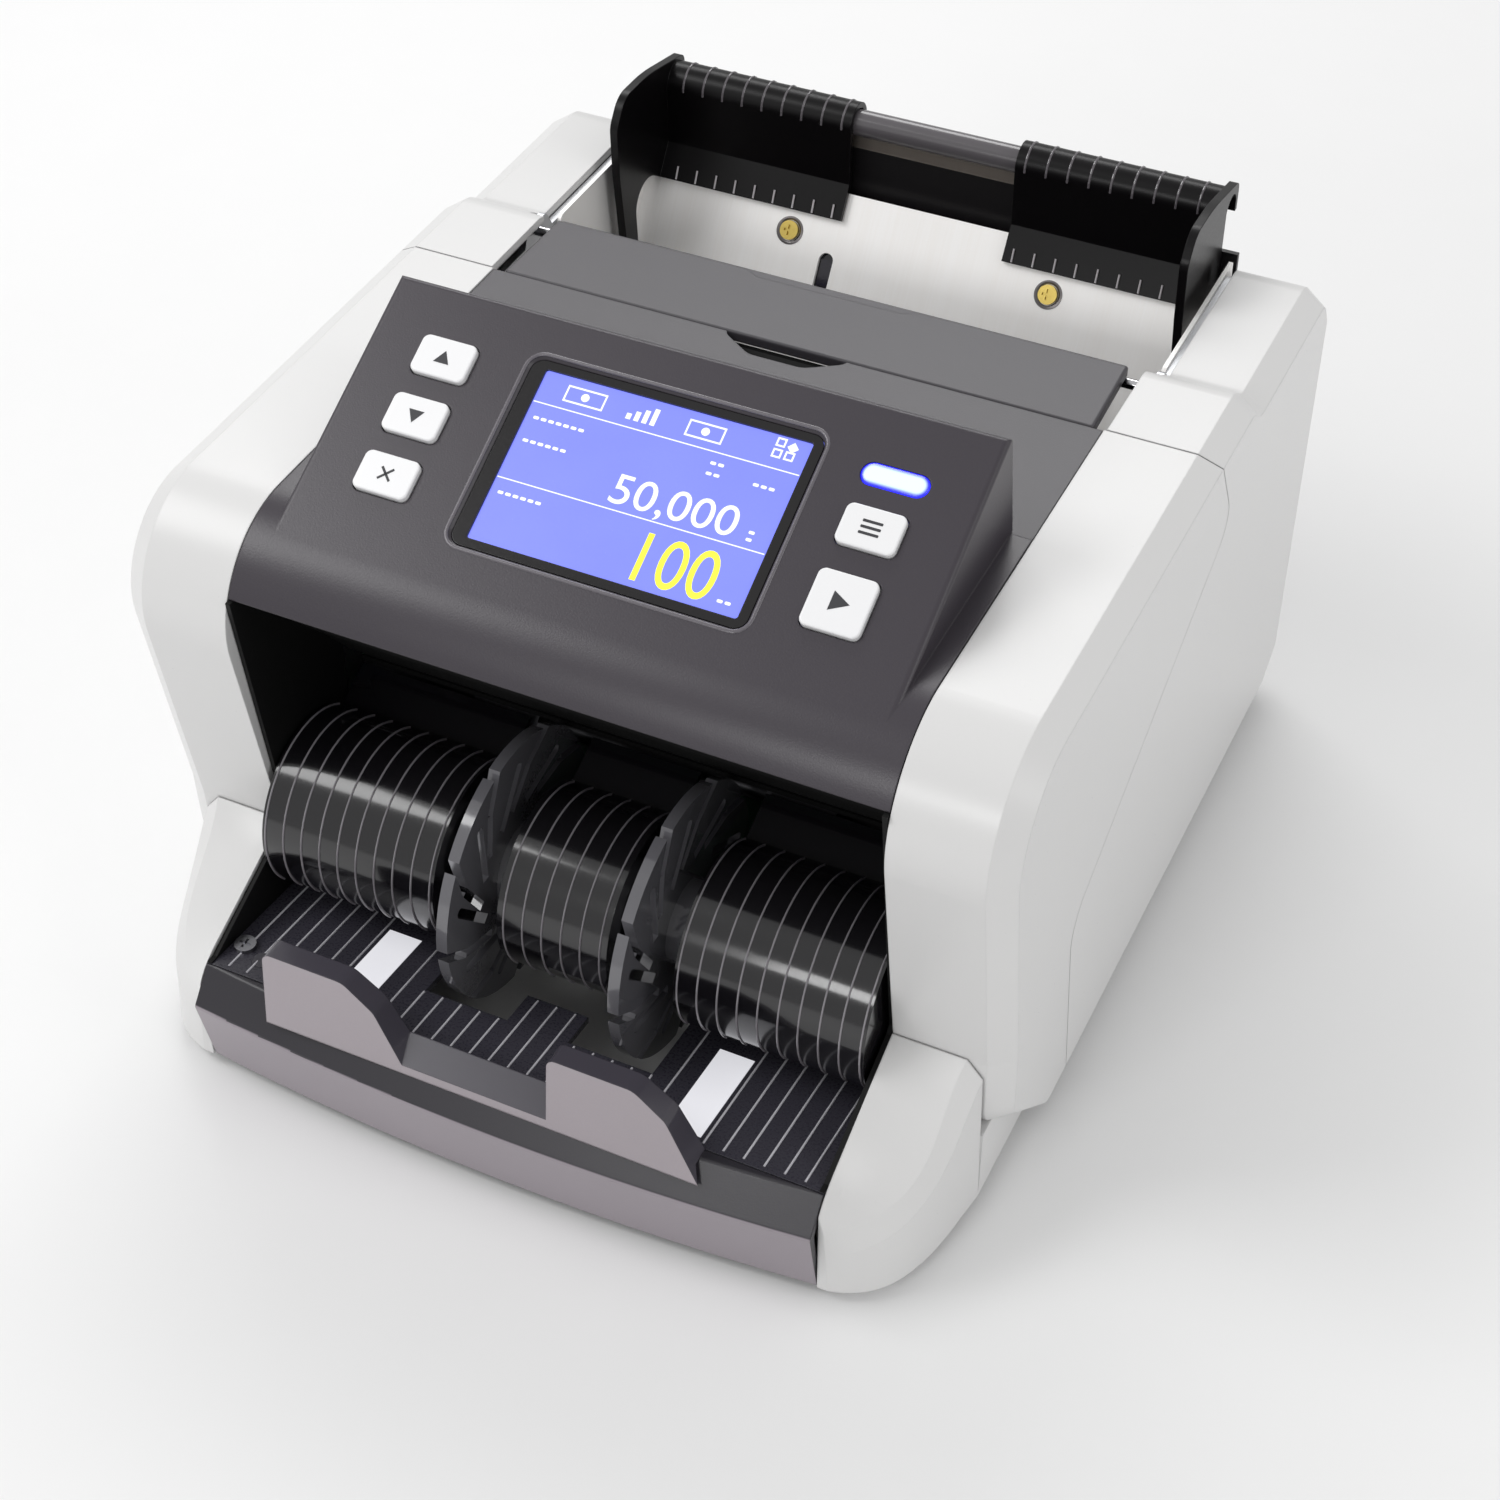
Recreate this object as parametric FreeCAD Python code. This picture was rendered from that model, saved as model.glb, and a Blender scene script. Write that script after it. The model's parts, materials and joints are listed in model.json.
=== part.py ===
import FreeCAD, Part
import math
import os
from FreeCAD import Vector

# Desktop banknote counter.  Millimetres, +Z up, the front (stacker side) looks along -Y,
# X = 0 is the middle plane, Z = 0 is the surface that the rubber feet stand on.

# ---------------------------------------------------------------- driving dimensions
CHANNEL = 90.0          # inner face of each side shell, half of the 180 mm note channel
SHELL_X = 121.7         # outer face of each side shell
WALL = 2.5              # wall of the moulded housings
FOOT_H = 4.0            # height of the rubber feet
TOP_Z = 154.0           # flat top of the front shells and of the dark cover
STEP_Z = 148.4          # lower top of the rear shells
NOSE_R = 30.0           # rounding of the nose
REAR_Y = 140.5          # rear face of the rear shells
CHAMFER_DOWN = 6.5      # shell edge chamfer, measured on the top and front faces
CHAMFER_IN = 4.4        # shell edge chamfer, measured across the width
SEAM = 0.4              # gap of the visible seams

FRONT_TOP, FRONT_LOW = (-109.9, TOP_Z), (-94.2, 54.0)   # front face without its rounding

CONSOLE_ANGLE = 27.03   # tilt of the operating panel
CONSOLE_HALF = 84.0
CONSOLE_REAR = -13.0    # foot of the console's rear wall
PANEL_TOP = 33.3        # along the slope from the origin of the panel's plane
KEY_HIGH = 1.5          # key caps above the panel

FRAME_IN, FRAME_OUT = 92.8, 94.8        # steel side frames
SHAFT_R = 3.0
BEARING_R, BEARING_BORE = 8.0, 3.04
PATH_Z = 80.0           # where a note runs between the rollers
NOTE_GAP = 0.4

STACKER_Y, STACKER_Z = -82.0, 55.0      # stacking wheel shaft
DRUM_R = 25.0
DRUM_SPANS = ((-87.5, -35.0), (-16.0, 16.0), (35.0, 87.5))
WHEEL_R, WHEEL_HUB_R = 38.0, 12.0
WHEEL_X, BLADE_W = 24.7, 3.2
WHEEL_FINGERS = 9

PLATE_ANGLE = 55.6      # slope of the steel hopper plate
PLATE_TOP_Y, PLATE_TOP_Z = 136.1, 138.8
PLATE_T = 1.5
ROD_Y, ROD_Z, ROD_R = 141.8, 160.0, 4.0
GUIDE_IN, GUIDE_OUT = 25.8, 88.7
GUIDE_T = 1.6
GUIDE_LIP = 8.5         # how far a guide's lip reaches down the plate

FLAP_FRONT, FLAP_REAR = 36.0, 67.0
HINGE_Y, HINGE_Z = 65.5, 148.3

# roller shafts: (Y, Z, roller radius)
FEED = (56.0, 64.0, 16.0)
PICKUP = (88.0, 73.0, 12.0)
DRIVE_REAR = (12.0, 64.0, 16.0)
DRIVE_FRONT = (-38.0, 64.0, 16.0)
PINCH_R = 9.0
SEPARATOR = (56.0, 90.4, 10.0)
PINCH_REAR = (12.0, PATH_Z + NOTE_GAP + PINCH_R, PINCH_R)
PINCH_FRONT = (-38.0, PATH_Z + NOTE_GAP + PINCH_R, PINCH_R)
MAIN_MOTOR = (100.0, 36.0, 20.0)
STACK_MOTOR = (-36.0, 28.0, 15.0)

PARTS = {}


def keep(name, *shapes):
    """Store one node; several shapes are kept as separate solids of a group."""
    PARTS[name] = shapes[0] if len(shapes) == 1 else Part.makeCompound(list(shapes))


# ---------------------------------------------------------------- shape helpers
def box(x0, x1, y0, y1, z0, z1):
    return Part.makeBox(x1 - x0, y1 - y0, z1 - z0, Vector(x0, y0, z0))


def rounded_wire(points):
    """Closed wire through (a, b) or (a, b, corner radius) points, in the XY plane."""
    corners = []
    count = len(points)
    for i, point in enumerate(points):
        here = Vector(point[0], point[1], 0)
        radius = point[2] if len(point) > 2 else 0
        if radius == 0:
            corners.append((here, here, here))
            continue
        before = Vector(*points[i - 1][:2], 0).sub(here).normalize()
        after = Vector(*points[(i + 1) % count][:2], 0).sub(here).normalize()
        half = before.getAngle(after) / 2
        run = radius / math.tan(half)
        middle = before.add(after).normalize()
        centre = here.add(middle.multiply(radius / math.sin(half)))
        mid = centre.add(here.sub(centre).normalize().multiply(radius))
        corners.append((here.add(before.multiply(run)), mid, here.add(after.multiply(run))))
    edges = []
    for i, (start, mid, end) in enumerate(corners):
        if start.distanceToPoint(end) > 1e-6:
            edges.append(Part.Arc(start, mid, end).toShape())
        following = corners[(i + 1) % count][0]
        if end.distanceToPoint(following) > 1e-6:
            edges.append(Part.LineSegment(end, following).toShape())
    return Part.Wire(edges)


def prism_z(points, z0, z1):
    """Solid with an XY outline between two heights."""
    face = Part.Face(rounded_wire(points))
    face.translate(Vector(0, 0, z0))
    return face.extrude(Vector(0, 0, z1 - z0))


def stand_up(face, x0):
    """Turn an outline drawn as (Y, Z) in the XY plane into the YZ plane at x0."""
    face.rotate(Vector(0, 0, 0), Vector(1, 0, 0), 90)
    face.rotate(Vector(0, 0, 0), Vector(0, 0, 1), 90)
    face.translate(Vector(x0, 0, 0))
    return face


def prism_x(points, x0, x1, inset=0):
    """Solid with a (Y, Z) outline between two X planes, shrunk by inset."""
    wire = rounded_wire(points)
    if inset:
        wire = wire.makeOffset2D(-inset)
    return stand_up(Part.Face(wire), x0).extrude(Vector(x1 - x0, 0, 0))


def cyl_x(y, z, r, x0, x1):
    return Part.makeCylinder(r, x1 - x0, Vector(x0, y, z), Vector(1, 0, 0))


def ring_x(y, z, r_out, r_in, x0, x1):
    return cyl_x(y, z, r_out, x0, x1).cut(cyl_x(y, z, r_in, x0 - 1, x1 + 1))


def slab_x(start, end, thick, x0, x1):
    """Flat sheet along X whose middle line runs from start to end in (Y, Z)."""
    dy, dz = end[0] - start[0], end[1] - start[1]
    length = math.hypot(dy, dz)
    ny, nz = -dz / length * thick / 2, dy / length * thick / 2
    return prism_x([(start[0] + ny, start[1] + nz), (end[0] + ny, end[1] + nz),
                    (end[0] - ny, end[1] - nz), (start[0] - ny, start[1] - nz)], x0, x1)


def mirrored(shape):
    return shape.mirror(Vector(0, 0, 0), Vector(1, 0, 0))


def both_sides(shape):
    return [shape, mirrored(shape)]


def fuse(shapes):
    return shapes[0].fuse(shapes[1:]).removeSplitter()


def on_panel(shape):
    """Move a shape drawn in the panel's plane (x, up the slope, out of it) into place."""
    shape.Placement = FreeCAD.Placement(
        Vector(0, CONSOLE_Y, CONSOLE_Z), FreeCAD.Rotation(Vector(1, 0, 0), CONSOLE_ANGLE))
    return shape


def nose_centre():
    """Axis (Y, Z) of the nose's rounding, which touches the top face and the leaning front face."""
    lean = math.atan2(FRONT_LOW[0] - FRONT_TOP[0], FRONT_TOP[1] - FRONT_LOW[1])
    run = NOSE_R / math.tan((math.pi / 2 - lean) / 2)
    return FRONT_TOP[0] + run, FRONT_TOP[1] - NOSE_R


# the panel's plane touches the nose all along, so the cover runs smoothly from one into the other
CONSOLE_Y = -48.5
CONSOLE_TURN = math.radians(CONSOLE_ANGLE)
CONSOLE_Z = nose_centre()[1] + (NOSE_R + (CONSOLE_Y - nose_centre()[0]) * math.sin(CONSOLE_TURN)
                                ) / math.cos(CONSOLE_TURN)


def panel_point(up, out=0.0):
    """(Y, Z) of a point that far up the panel's slope and out of its plane."""
    return (CONSOLE_Y + up * math.cos(CONSOLE_TURN) - out * math.sin(CONSOLE_TURN),
            CONSOLE_Z + up * math.sin(CONSOLE_TURN) + out * math.cos(CONSOLE_TURN))


def out_of_panel(point):
    """Distance of a point in front of the panel's plane."""
    return (-(point.y - CONSOLE_Y) * math.sin(CONSOLE_TURN)
            + (point.z - CONSOLE_Z) * math.cos(CONSOLE_TURN))


def loop_outline(first, second):
    """Outline round two (Y, Z, radius) circles, as a belt lies round two pulleys."""
    y1, z1, r1 = first
    y2, z2, r2 = second
    gap = math.hypot(y2 - y1, z2 - z1)
    heading = math.atan2(z2 - z1, y2 - y1)
    lean = math.acos((r1 - r2) / gap)
    tangents = []
    for y, z, r in (first, second):
        tangents.append([Vector(y + r * math.cos(heading + turn), z + r * math.sin(heading + turn), 0)
                         for turn in (lean, -lean)])
    back = Vector(y1 - r1 * math.cos(heading), z1 - r1 * math.sin(heading), 0)
    front = Vector(y2 + r2 * math.cos(heading), z2 + r2 * math.sin(heading), 0)
    return Part.Wire([
        Part.LineSegment(tangents[0][0], tangents[1][0]).toShape(),
        Part.Arc(tangents[1][0], front, tangents[1][1]).toShape(),
        Part.LineSegment(tangents[1][1], tangents[0][1]).toShape(),
        Part.Arc(tangents[0][1], back, tangents[0][0]).toShape()])


def belt(first, second, x0, x1):
    """Flat toothless belt with a small running gap round two pulleys."""
    def solid(extra):
        rings = [(y, z, r + extra) for y, z, r in (first, second)]
        return stand_up(Part.Face(loop_outline(*rings)), x0).extrude(Vector(x1 - x0, 0, 0))
    gap, thick = 0.3, 1.4
    return solid(gap + thick).cut(solid(gap))


# ---------------------------------------------------------------- side shells
SHELL_OUTLINE = [
    (*FRONT_TOP, NOSE_R), FRONT_LOW, (-93.4, 32.0, 12), (-63.0, FOOT_H, 12),
    (127.0, FOOT_H), (REAR_Y, 13.5), (REAR_Y, 136.5, 10), (133.0, STEP_Z, 10),
    (73.5, STEP_Z, 5), (65.4, TOP_Z, 10)]
FRONT_PIECE = [
    (-200, 200), (35.4, 200), (35.4, TOP_Z), (53.3, 123.4, 9), (-55.8, 69.6, 14),
    (-46.3, 2), (-46.3, -20), (-200, -20)]
CHEEK_DEPTH = -58.0     # how far back the front shell's inner wall reaches


def chamfered_block(inset, x0, x1):
    """The shell's outline as a block whose outer edge is chamfered all the way round."""
    block = prism_x(SHELL_OUTLINE, x0, x1, inset)
    bottom = FOOT_H + inset + 0.01
    edges = [e for e in block.Edges
             if all(abs(v.X - x1) < 1e-6 for v in e.Vertexes)
             and not all(v.Z < bottom for v in e.Vertexes)]
    return block.makeChamfer(CHAMFER_DOWN, CHAMFER_IN, edges)


def side_shells():
    skin = chamfered_block(0, CHANNEL, SHELL_X)
    skin = skin.cut(chamfered_block(WALL, CHANNEL + WALL, SHELL_X - WALL))
    skin = skin.cut(box(CHANNEL + WALL, SHELL_X - WALL, -62, 126, 0, 20))
    front_zone = prism_x(FRONT_PIECE, 80, 130)
    front = skin.common(front_zone)
    front = front.cut(box(80, CHANNEL + WALL + 0.1, CHEEK_DEPTH, 100, 0, TOP_Z - WALL))
    front = front.cut(cyl_x(STACKER_Y, STACKER_Z, BEARING_R, 80, CHANNEL + WALL + 1))
    front = front.cut(box(80, BASE_X + SEAM, ARM_REAR, 0, -1, BASE_RIM + SEAM))
    moved = prism_x(FRONT_PIECE, 80, 130)
    moved.translate(Vector(0, SEAM, 0))
    rear = skin.cut(moved).cut(front_zone)
    rear = rear.cut(box(80, BASE_X + SEAM, -60, BASE_REAR + SEAM, -1, BASE_RIM + SEAM))
    rear = rear.cut(box(80, CHANNEL + 0.7, 0, 160, 0, 170))
    rear = rear.cut(box(80, FRAME_OUT + 0.4, 66, 160, 0, 170))
    rear = rear.cut(box(80, FRAME_OUT + 0.4, -60, 160, 0, TOP_Z - WALL))
    keep("front_shell_right", front)
    keep("front_shell_left", mirrored(front))
    keep("rear_shell_right", rear)
    keep("rear_shell_left", mirrored(rear))


# ---------------------------------------------------------------- lower housing
BASE_X = 115.7
BASE_REAR = 134.0
ARM_REAR = -94.6
BASE_RIM = 28.0
BOARD_Z = 12.0          # underside of the main board
# arm sections: Y, inner top Z, crest (X, Z), side edge (X, Z), bottom X
ARM_SECTIONS = [
    (ARM_REAR, 54.4, (110.2, 54.4), (114.6, 49.0), 115.7),
    (-105.0, 49.9, (108.9, 44.0), (113.4, 38.5), 114.2),
    (-116.0, 45.0, (108.0, 34.6), (111.6, 29.5), 112.2),
    (-125.0, 41.0, (104.4, 29.4), (108.3, 24.5), 109.2),
    (-132.0, 37.8, (98.8, 27.2), (103.2, 21.0), 104.8),
    (-136.5, 34.6, (94.0, 27.0), (97.2, 19.0), 98.8),
    (-138.6, 32.0, (91.4, 26.4), (92.2, 17.0), 93.0)]


def arm_solid(sections, inset, lower):
    """Loft through arm sections; inset and lower shrink each one for the hollow."""
    wires = []
    for y, top, crest, side, foot_x in sections:
        corners = [Vector(x, y, z) for x, z in (
            (CHANNEL + inset, FOOT_H + inset), (CHANNEL + inset, top - lower),
            (crest[0] - inset, crest[1] - lower), (side[0] - inset * 1.4, side[1] - inset),
            (foot_x - inset, FOOT_H + inset))]
        wires.append(Part.makePolygon(corners + corners[:1]))
    return Part.makeLoft(wires, True, False)


def base_plan(inset):
    """Plan outline of the lower housing behind the arms, shrunk for its hollow."""
    wide, corner = BASE_X - inset, 6 - inset
    front = ARM_REAR - inset
    return [(-wide, front), (wide, front), (wide, BASE_REAR - inset, corner),
            (-wide, BASE_REAR - inset, corner)]


def lower_housing():
    floor = prism_z(base_plan(0), FOOT_H, FOOT_H + WALL)
    rim = prism_z(base_plan(0), FOOT_H, BASE_RIM).cut(prism_z(base_plan(WALL), 0, BASE_RIM + 1))
    apron = box(-CHANNEL, CHANNEL, -134.5, ARM_REAR, FOOT_H, FOOT_H + WALL)
    hollow = arm_solid([s for s in ARM_SECTIONS if s[0] > -134], WALL, WALL + 0.6)
    arm = arm_solid(ARM_SECTIONS, 0, 0).cut(hollow)
    posts = [Part.makeCylinder(3, BOARD_Z - FOOT_H, Vector(x, y, FOOT_H))
             for x in (-78, 78) for y in (-10, 60)]
    rim = rim.cut(box(-CHANNEL, CHANNEL, 120, 140, 20, 40))
    whole = fuse([floor, rim, apron] + both_sides(arm) + posts)
    keep("lower_housing", whole)


LIP_BOW = 5.0           # how far the lip bulges forward in the middle
LIP_TOP = (-134.9, 36.5)
LIP_EDGE = (-142.8, 27.3)
LIP_FOOT = (-138.0, FOOT_H)


def front_lip():
    swing = (CHANNEL ** 2 + LIP_BOW ** 2) / (2 * LIP_BOW)
    axis_y = LIP_EDGE[0] - LIP_BOW + swing
    def section(inset):
        top, edge, foot = LIP_TOP, LIP_EDGE, LIP_FOOT
        return [(-120.0, top[1] - inset), (top[0] - LIP_BOW + inset * 0.4, top[1] - inset, 1.2),
                (edge[0] - LIP_BOW + inset, edge[1] - inset * 0.45, 1.5),
                (foot[0] - LIP_BOW + inset, foot[1] - (0 if inset == 0 else 5)),
                (-120.0, foot[1] - (0 if inset == 0 else 5))]
    def bowed(inset):
        face = stand_up(Part.Face(rounded_wire(section(inset))), 0)
        half_turn = math.degrees(math.asin((CHANNEL + 6) / swing))
        face.rotate(Vector(0, axis_y, 0), Vector(0, 0, 1), -half_turn)
        return face.revolve(Vector(0, axis_y, 0), Vector(0, 0, 1), 2 * half_turn)
    lip = bowed(0).cut(bowed(WALL))
    lip = lip.common(box(-CHANNEL + 0.3, CHANNEL - 0.3, -160, LIP_TOP[0], 0, 60))
    keep("front_lip", lip)


# ---------------------------------------------------------------- stacker pocket
FLOOR_REAR = (-86.0, 30.0)
FLOOR_T = 2.0
REFLECTOR_X = (44.7, 54.6)
NOTCH_X, NOTCH_Y = 33.5, -116.6         # room for the stacking wheels
TONGUE_HALF, TONGUE_Y = 9.0, -105.5     # the floor reaches further back between them
PATH_FRONT = -50.5                      # front edge of the note path plates
PATH_LIP = (PATH_FRONT - 0.8, 76.9)     # where they hand over to the drum covers
FINGER_PHASE = 103.0                    # rest angle of the first finger tip


def floor_height(y):
    """Height of the stacker floor's top at a depth y."""
    slope = (LIP_TOP[1] - FLOOR_REAR[1]) / (LIP_TOP[0] - FLOOR_REAR[0])
    return FLOOR_REAR[1] + slope * (y - FLOOR_REAR[0])


def stacker_floor():
    half = CHANNEL - 0.4
    y0, y1 = LIP_TOP[0] + 0.3, FLOOR_REAR[0]
    sheet = prism_x([(y0, floor_height(y0)), (y1, floor_height(y1)),
                     (y1, floor_height(y1) - FLOOR_T), (y0, floor_height(y0) - FLOOR_T)], -half, half)
    for notch in both_sides(box(TONGUE_HALF, NOTCH_X, NOTCH_Y, -80, 0, 60)):
        sheet = sheet.cut(notch)
    sheet = sheet.cut(box(-TONGUE_HALF - 1, TONGUE_HALF + 1, TONGUE_Y, -80, 0, 60))
    strips = []
    for side in (-1, 1):
        x0, x1 = sorted((side * REFLECTOR_X[0], side * REFLECTOR_X[1]))
        strip = prism_x([(-131.5, floor_height(-131.5) - 0.4), (-100.0, floor_height(-100.0) - 0.4),
                         (-100.0, floor_height(-100.0) + 0.1), (-131.5, floor_height(-131.5) + 0.1)],
                        x0, x1)
        strips.append(strip)
        sheet = sheet.cut(strip)
    screw = pan_screw(Vector(-84.5, -124.5, floor_height(-124.5)), Vector(0, 0, 1), 3.0, 6.0)
    eye = Part.makeCylinder(2.6, 7, Vector(-77.5, -127.4, floor_height(-127.4) - 6.6), Vector(0, 0, 1))
    sheet = sheet.cut(screw).cut(eye)
    keep("stacker_floor", sheet)
    keep("reflector_strips", *strips)
    return [screw], [eye]


def pan_screw(place, out, head_r, length):
    """Cross-head screw: a domed head on the surface and a plain shank below it."""
    head_h = head_r * 0.5
    head = Part.makeCylinder(head_r, head_h, place, out)
    shank = Part.makeCylinder(head_r * 0.5, length, place.sub(Vector(out).multiply(length)), out)
    slots = []
    for turn in (0, 90):
        bar = Part.makeBox(head_r * 1.1, head_r * 0.26, head_h, Vector(-head_r * 0.55, -head_r * 0.13, 0))
        bar.Placement = FreeCAD.Placement(
            place.add(Vector(out).multiply(head_h * 0.5)),
            FreeCAD.Rotation(Vector(0, 0, 1), out).multiply(FreeCAD.Rotation(Vector(0, 0, 1), turn)))
        slots.append(bar)
    return head.fuse(shank).cut(slots[0]).cut(slots[1])


STOP_FRONT, STOP_REAR = -143.4, -134.6
PADDLE = [(-66.2, 30.0), (-66.0, 56.5, 2.5), (-42.0, 56.5, 6), (-33.0, 50.0, 6), (-22.0, 30.0)]
PADDLE_SHIFT = 83.0     # the second paddle stands this far to the right
BRIDGE_Z, BRIDGE_RISE = 35.4, 4.0       # low bridge between the paddles, higher at its rear


def note_stopper():
    """Two slanted paddles joined by a low bridge, standing on the lip."""
    def upright(points, y0, y1):
        face = Part.Face(rounded_wire(points))
        face.rotate(Vector(0, 0, 0), Vector(1, 0, 0), 90)
        face.translate(Vector(0, y1, 0))
        return face.extrude(Vector(0, y0 - y1, 0))
    left = upright(PADDLE, STOP_FRONT, STOP_REAR)
    shifted = [(p[0] + PADDLE_SHIFT,) + tuple(p[1:]) for p in PADDLE]
    right = upright(shifted, STOP_FRONT, STOP_REAR)
    bridge = prism_x([(STOP_FRONT, 30), (STOP_FRONT, BRIDGE_Z), (STOP_REAR, BRIDGE_Z + BRIDGE_RISE),
                      (STOP_REAR, 30)],
                     -27, 19)
    whole = fuse([left, right, bridge])
    lean = prism_x([(STOP_FRONT - 5, 20), (STOP_FRONT, 30), (STOP_FRONT + 3.0, 60), (STOP_FRONT - 5, 60)],
                   -100, 100)
    whole = whole.cut(lean)
    under = prism_x([(-160, 0), (-120, 0), (-120, LIP_TOP[1]), (-139.9, LIP_TOP[1]),
                     (-147.8, LIP_EDGE[1]), (-160, LIP_EDGE[1])], -100, 100)
    keep("note_stopper", whole.cut(under))


def polar(radius, degrees):
    """Point round the stacking shaft as (Y, Z)."""
    turn = math.radians(degrees)
    return (STACKER_Y + radius * math.cos(turn), STACKER_Z + radius * math.sin(turn))


def drum_guides():
    """Drum-shaped covers between and beside the stacking wheels, open below and behind."""
    def segment(x0, x1):
        drum = ring_x(STACKER_Y, STACKER_Z, DRUM_R, DRUM_R - 2, x0, x1)
        ends = [ring_x(STACKER_Y, STACKER_Z, DRUM_R - 1, SHAFT_R + 2, x, x + 1.5) for x in (x0, x1 - 1.5)]
        rear = polar(DRUM_R - 1, 42)
        drum = fuse([drum] + ends + [slab_x(rear, PATH_LIP, 1.6, x0, x1)])
        away = prism_x([(STACKER_Y + 4, STACKER_Z - 4), (STACKER_Y + 60, STACKER_Z - 2),
                        (STACKER_Y + 60, -30), (STACKER_Y - 60, -30),
                        (STACKER_Y - 60, floor_height(STACKER_Y - 60) + 0.5),
                        (STACKER_Y, floor_height(STACKER_Y) + 0.5)], x0 - 1, x1 + 1)
        return drum.cut(away)
    keep("drum_guides", *[segment(*span) for span in DRUM_SPANS])


def stacking_wheel(x):
    """Thin wheel whose spiral slots leave pointed fingers that trail the turning direction."""
    x0, x1 = x - BLADE_W / 2, x + BLADE_W / 2
    blade = cyl_x(STACKER_Y, STACKER_Z, WHEEL_R, x0, x1)
    pitch = 360.0 / WHEEL_FINGERS
    for i in range(WHEEL_FINGERS):
        tip = FINGER_PHASE + i * pitch
        mouth, bend = polar(WHEEL_R + 2, tip - 4), polar(30, tip + 11)
        note_slot = slab_x(mouth, bend, 2.6, x0 - 1, x1 + 1).fuse(
            slab_x(bend, polar(20, tip + 32), 2.6, x0 - 1, x1 + 1))
        split_top, split_end = polar(31.5, tip + 21), polar(19, tip + 50)
        split = slab_x(split_top, split_end, 2.8, x0 - 1, x1 + 1)
        split = split.fuse(cyl_x(*split_top, 1.4, x0 - 1, x1 + 1))
        blade = blade.cut(note_slot).cut(split)
    wheel = blade.fuse(cyl_x(STACKER_Y, STACKER_Z, WHEEL_HUB_R, x - 6, x + 6)).removeSplitter()
    return wheel.cut(cyl_x(STACKER_Y, STACKER_Z, SHAFT_R, x - 20, x + 20))


# ---------------------------------------------------------------- cover and operating panel
def nose_block(inset, half):
    return prism_x(SHELL_OUTLINE, -half, half, inset)


COVER_LOW = 136.9       # lower edge of the cover on the front face
DISPLAY_U, DISPLAY_V = (-39.2, 41.3), (-33.5, 20.5)
RIM_DEPTH = 1.0         # flared rim of the display's recess
LED_U, LED_V = (52.5, 70.3), (10.9, 17.3)
KEYS = {                # centre across, centre up the slope, width, height
    "key_up": (-61.3, 12.4, 15.6, 11.0),
    "key_down": (-61.3, -4.9, 15.6, 11.0),
    "key_clear": (-61.3, -22.0, 15.6, 11.0),
    "key_menu": (61.0, -0.2, 15.6, 11.0),
    "key_start": (61.0, -20.4, 15.6, 15.5)}


def flat_rounded(u0, u1, v0, v1, radius, w0, w1):
    """Rounded rectangle in panel coordinates between two depths, put in place."""
    return on_panel(prism_z([(u0, v0, radius), (u1, v0, radius), (u1, v1, radius), (u0, v1, radius)],
                            w0, w1))


def wedge(inset):
    """Console body: the panel's plane runs down into the same rounding as the nose."""
    rise = math.tan(CONSOLE_TURN)
    fall = (FRONT_LOW[0] - FRONT_TOP[0]) / (FRONT_TOP[1] - FRONT_LOW[1])
    # the panel's plane z = panel_z + rise * y meets the front face y = front_y - fall * z
    panel_z, front_y = CONSOLE_Z - rise * CONSOLE_Y, FRONT_TOP[0] + fall * FRONT_TOP[1]
    corner_z = (panel_z + rise * front_y) / (1 + rise * fall)
    corner_y = front_y - fall * corner_z
    low_z = 108.0
    outline = [(corner_y, corner_z, NOSE_R), panel_point(PANEL_TOP), (CONSOLE_REAR, TOP_Z - 4),
               (CONSOLE_REAR, low_z), (front_y - fall * low_z, low_z)]
    return prism_x(outline, -CONSOLE_HALF + inset, CONSOLE_HALF - inset, inset)


def console_cover():
    """One moulding: the nose and the wedge that carries the display and the keys."""
    top_z = panel_point(PANEL_TOP)[1]
    body = wedge(0)
    rims = [e for e in body.Edges if e.BoundBox.ZMax > COVER_LOW + 1
            and (abs(abs(e.CenterOfMass.x) - CONSOLE_HALF) < 1e-6 or e.BoundBox.ZMin > top_z - 0.01)
            and e.BoundBox.YMax < CONSOLE_REAR - 0.01]
    body = body.makeFillet(1.5, rims)
    body = body.cut(box(-100, 100, -14.8, 0, 0, TOP_Z)).cut(box(-100, 100, -130, 0, 0, COVER_LOW))
    nose = nose_block(0, CHANNEL - 0.3).common(box(-100, 100, -120, -15, COVER_LOW, 160))
    body = body.fuse(nose).cut(nose_block(WALL, CHANNEL + 5)).cut(wedge(WALL)).removeSplitter()
    body = body.cut(flat_rounded(*DISPLAY_U, *DISPLAY_V, 3.5, -20, 20))
    rim_wires = []
    for spread, out in ((0, -RIM_DEPTH), (RIM_DEPTH * 1.2, 0.2)):
        u0, u1 = DISPLAY_U[0] - spread, DISPLAY_U[1] + spread
        v0, v1, r = DISPLAY_V[0] - spread, DISPLAY_V[1] + spread, 3.5 + spread
        wire = rounded_wire([(u0, v0, r), (u1, v0, r), (u1, v1, r), (u0, v1, r)])
        wire.translate(Vector(0, 0, out))
        rim_wires.append(wire)
    body = body.cut(on_panel(Part.makeLoft(rim_wires, True, True)))
    body = body.cut(flat_rounded(*LED_U, *LED_V, 3.1, -20, 20))
    for u, v, width, height in KEYS.values():
        gap = 0.35
        body = body.cut(flat_rounded(u - width / 2 - gap, u + width / 2 + gap, v - height / 2 - gap,
                                     v + height / 2 + gap, 2.0 + gap, -20, 20))
    keep("console_cover", body)


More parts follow.
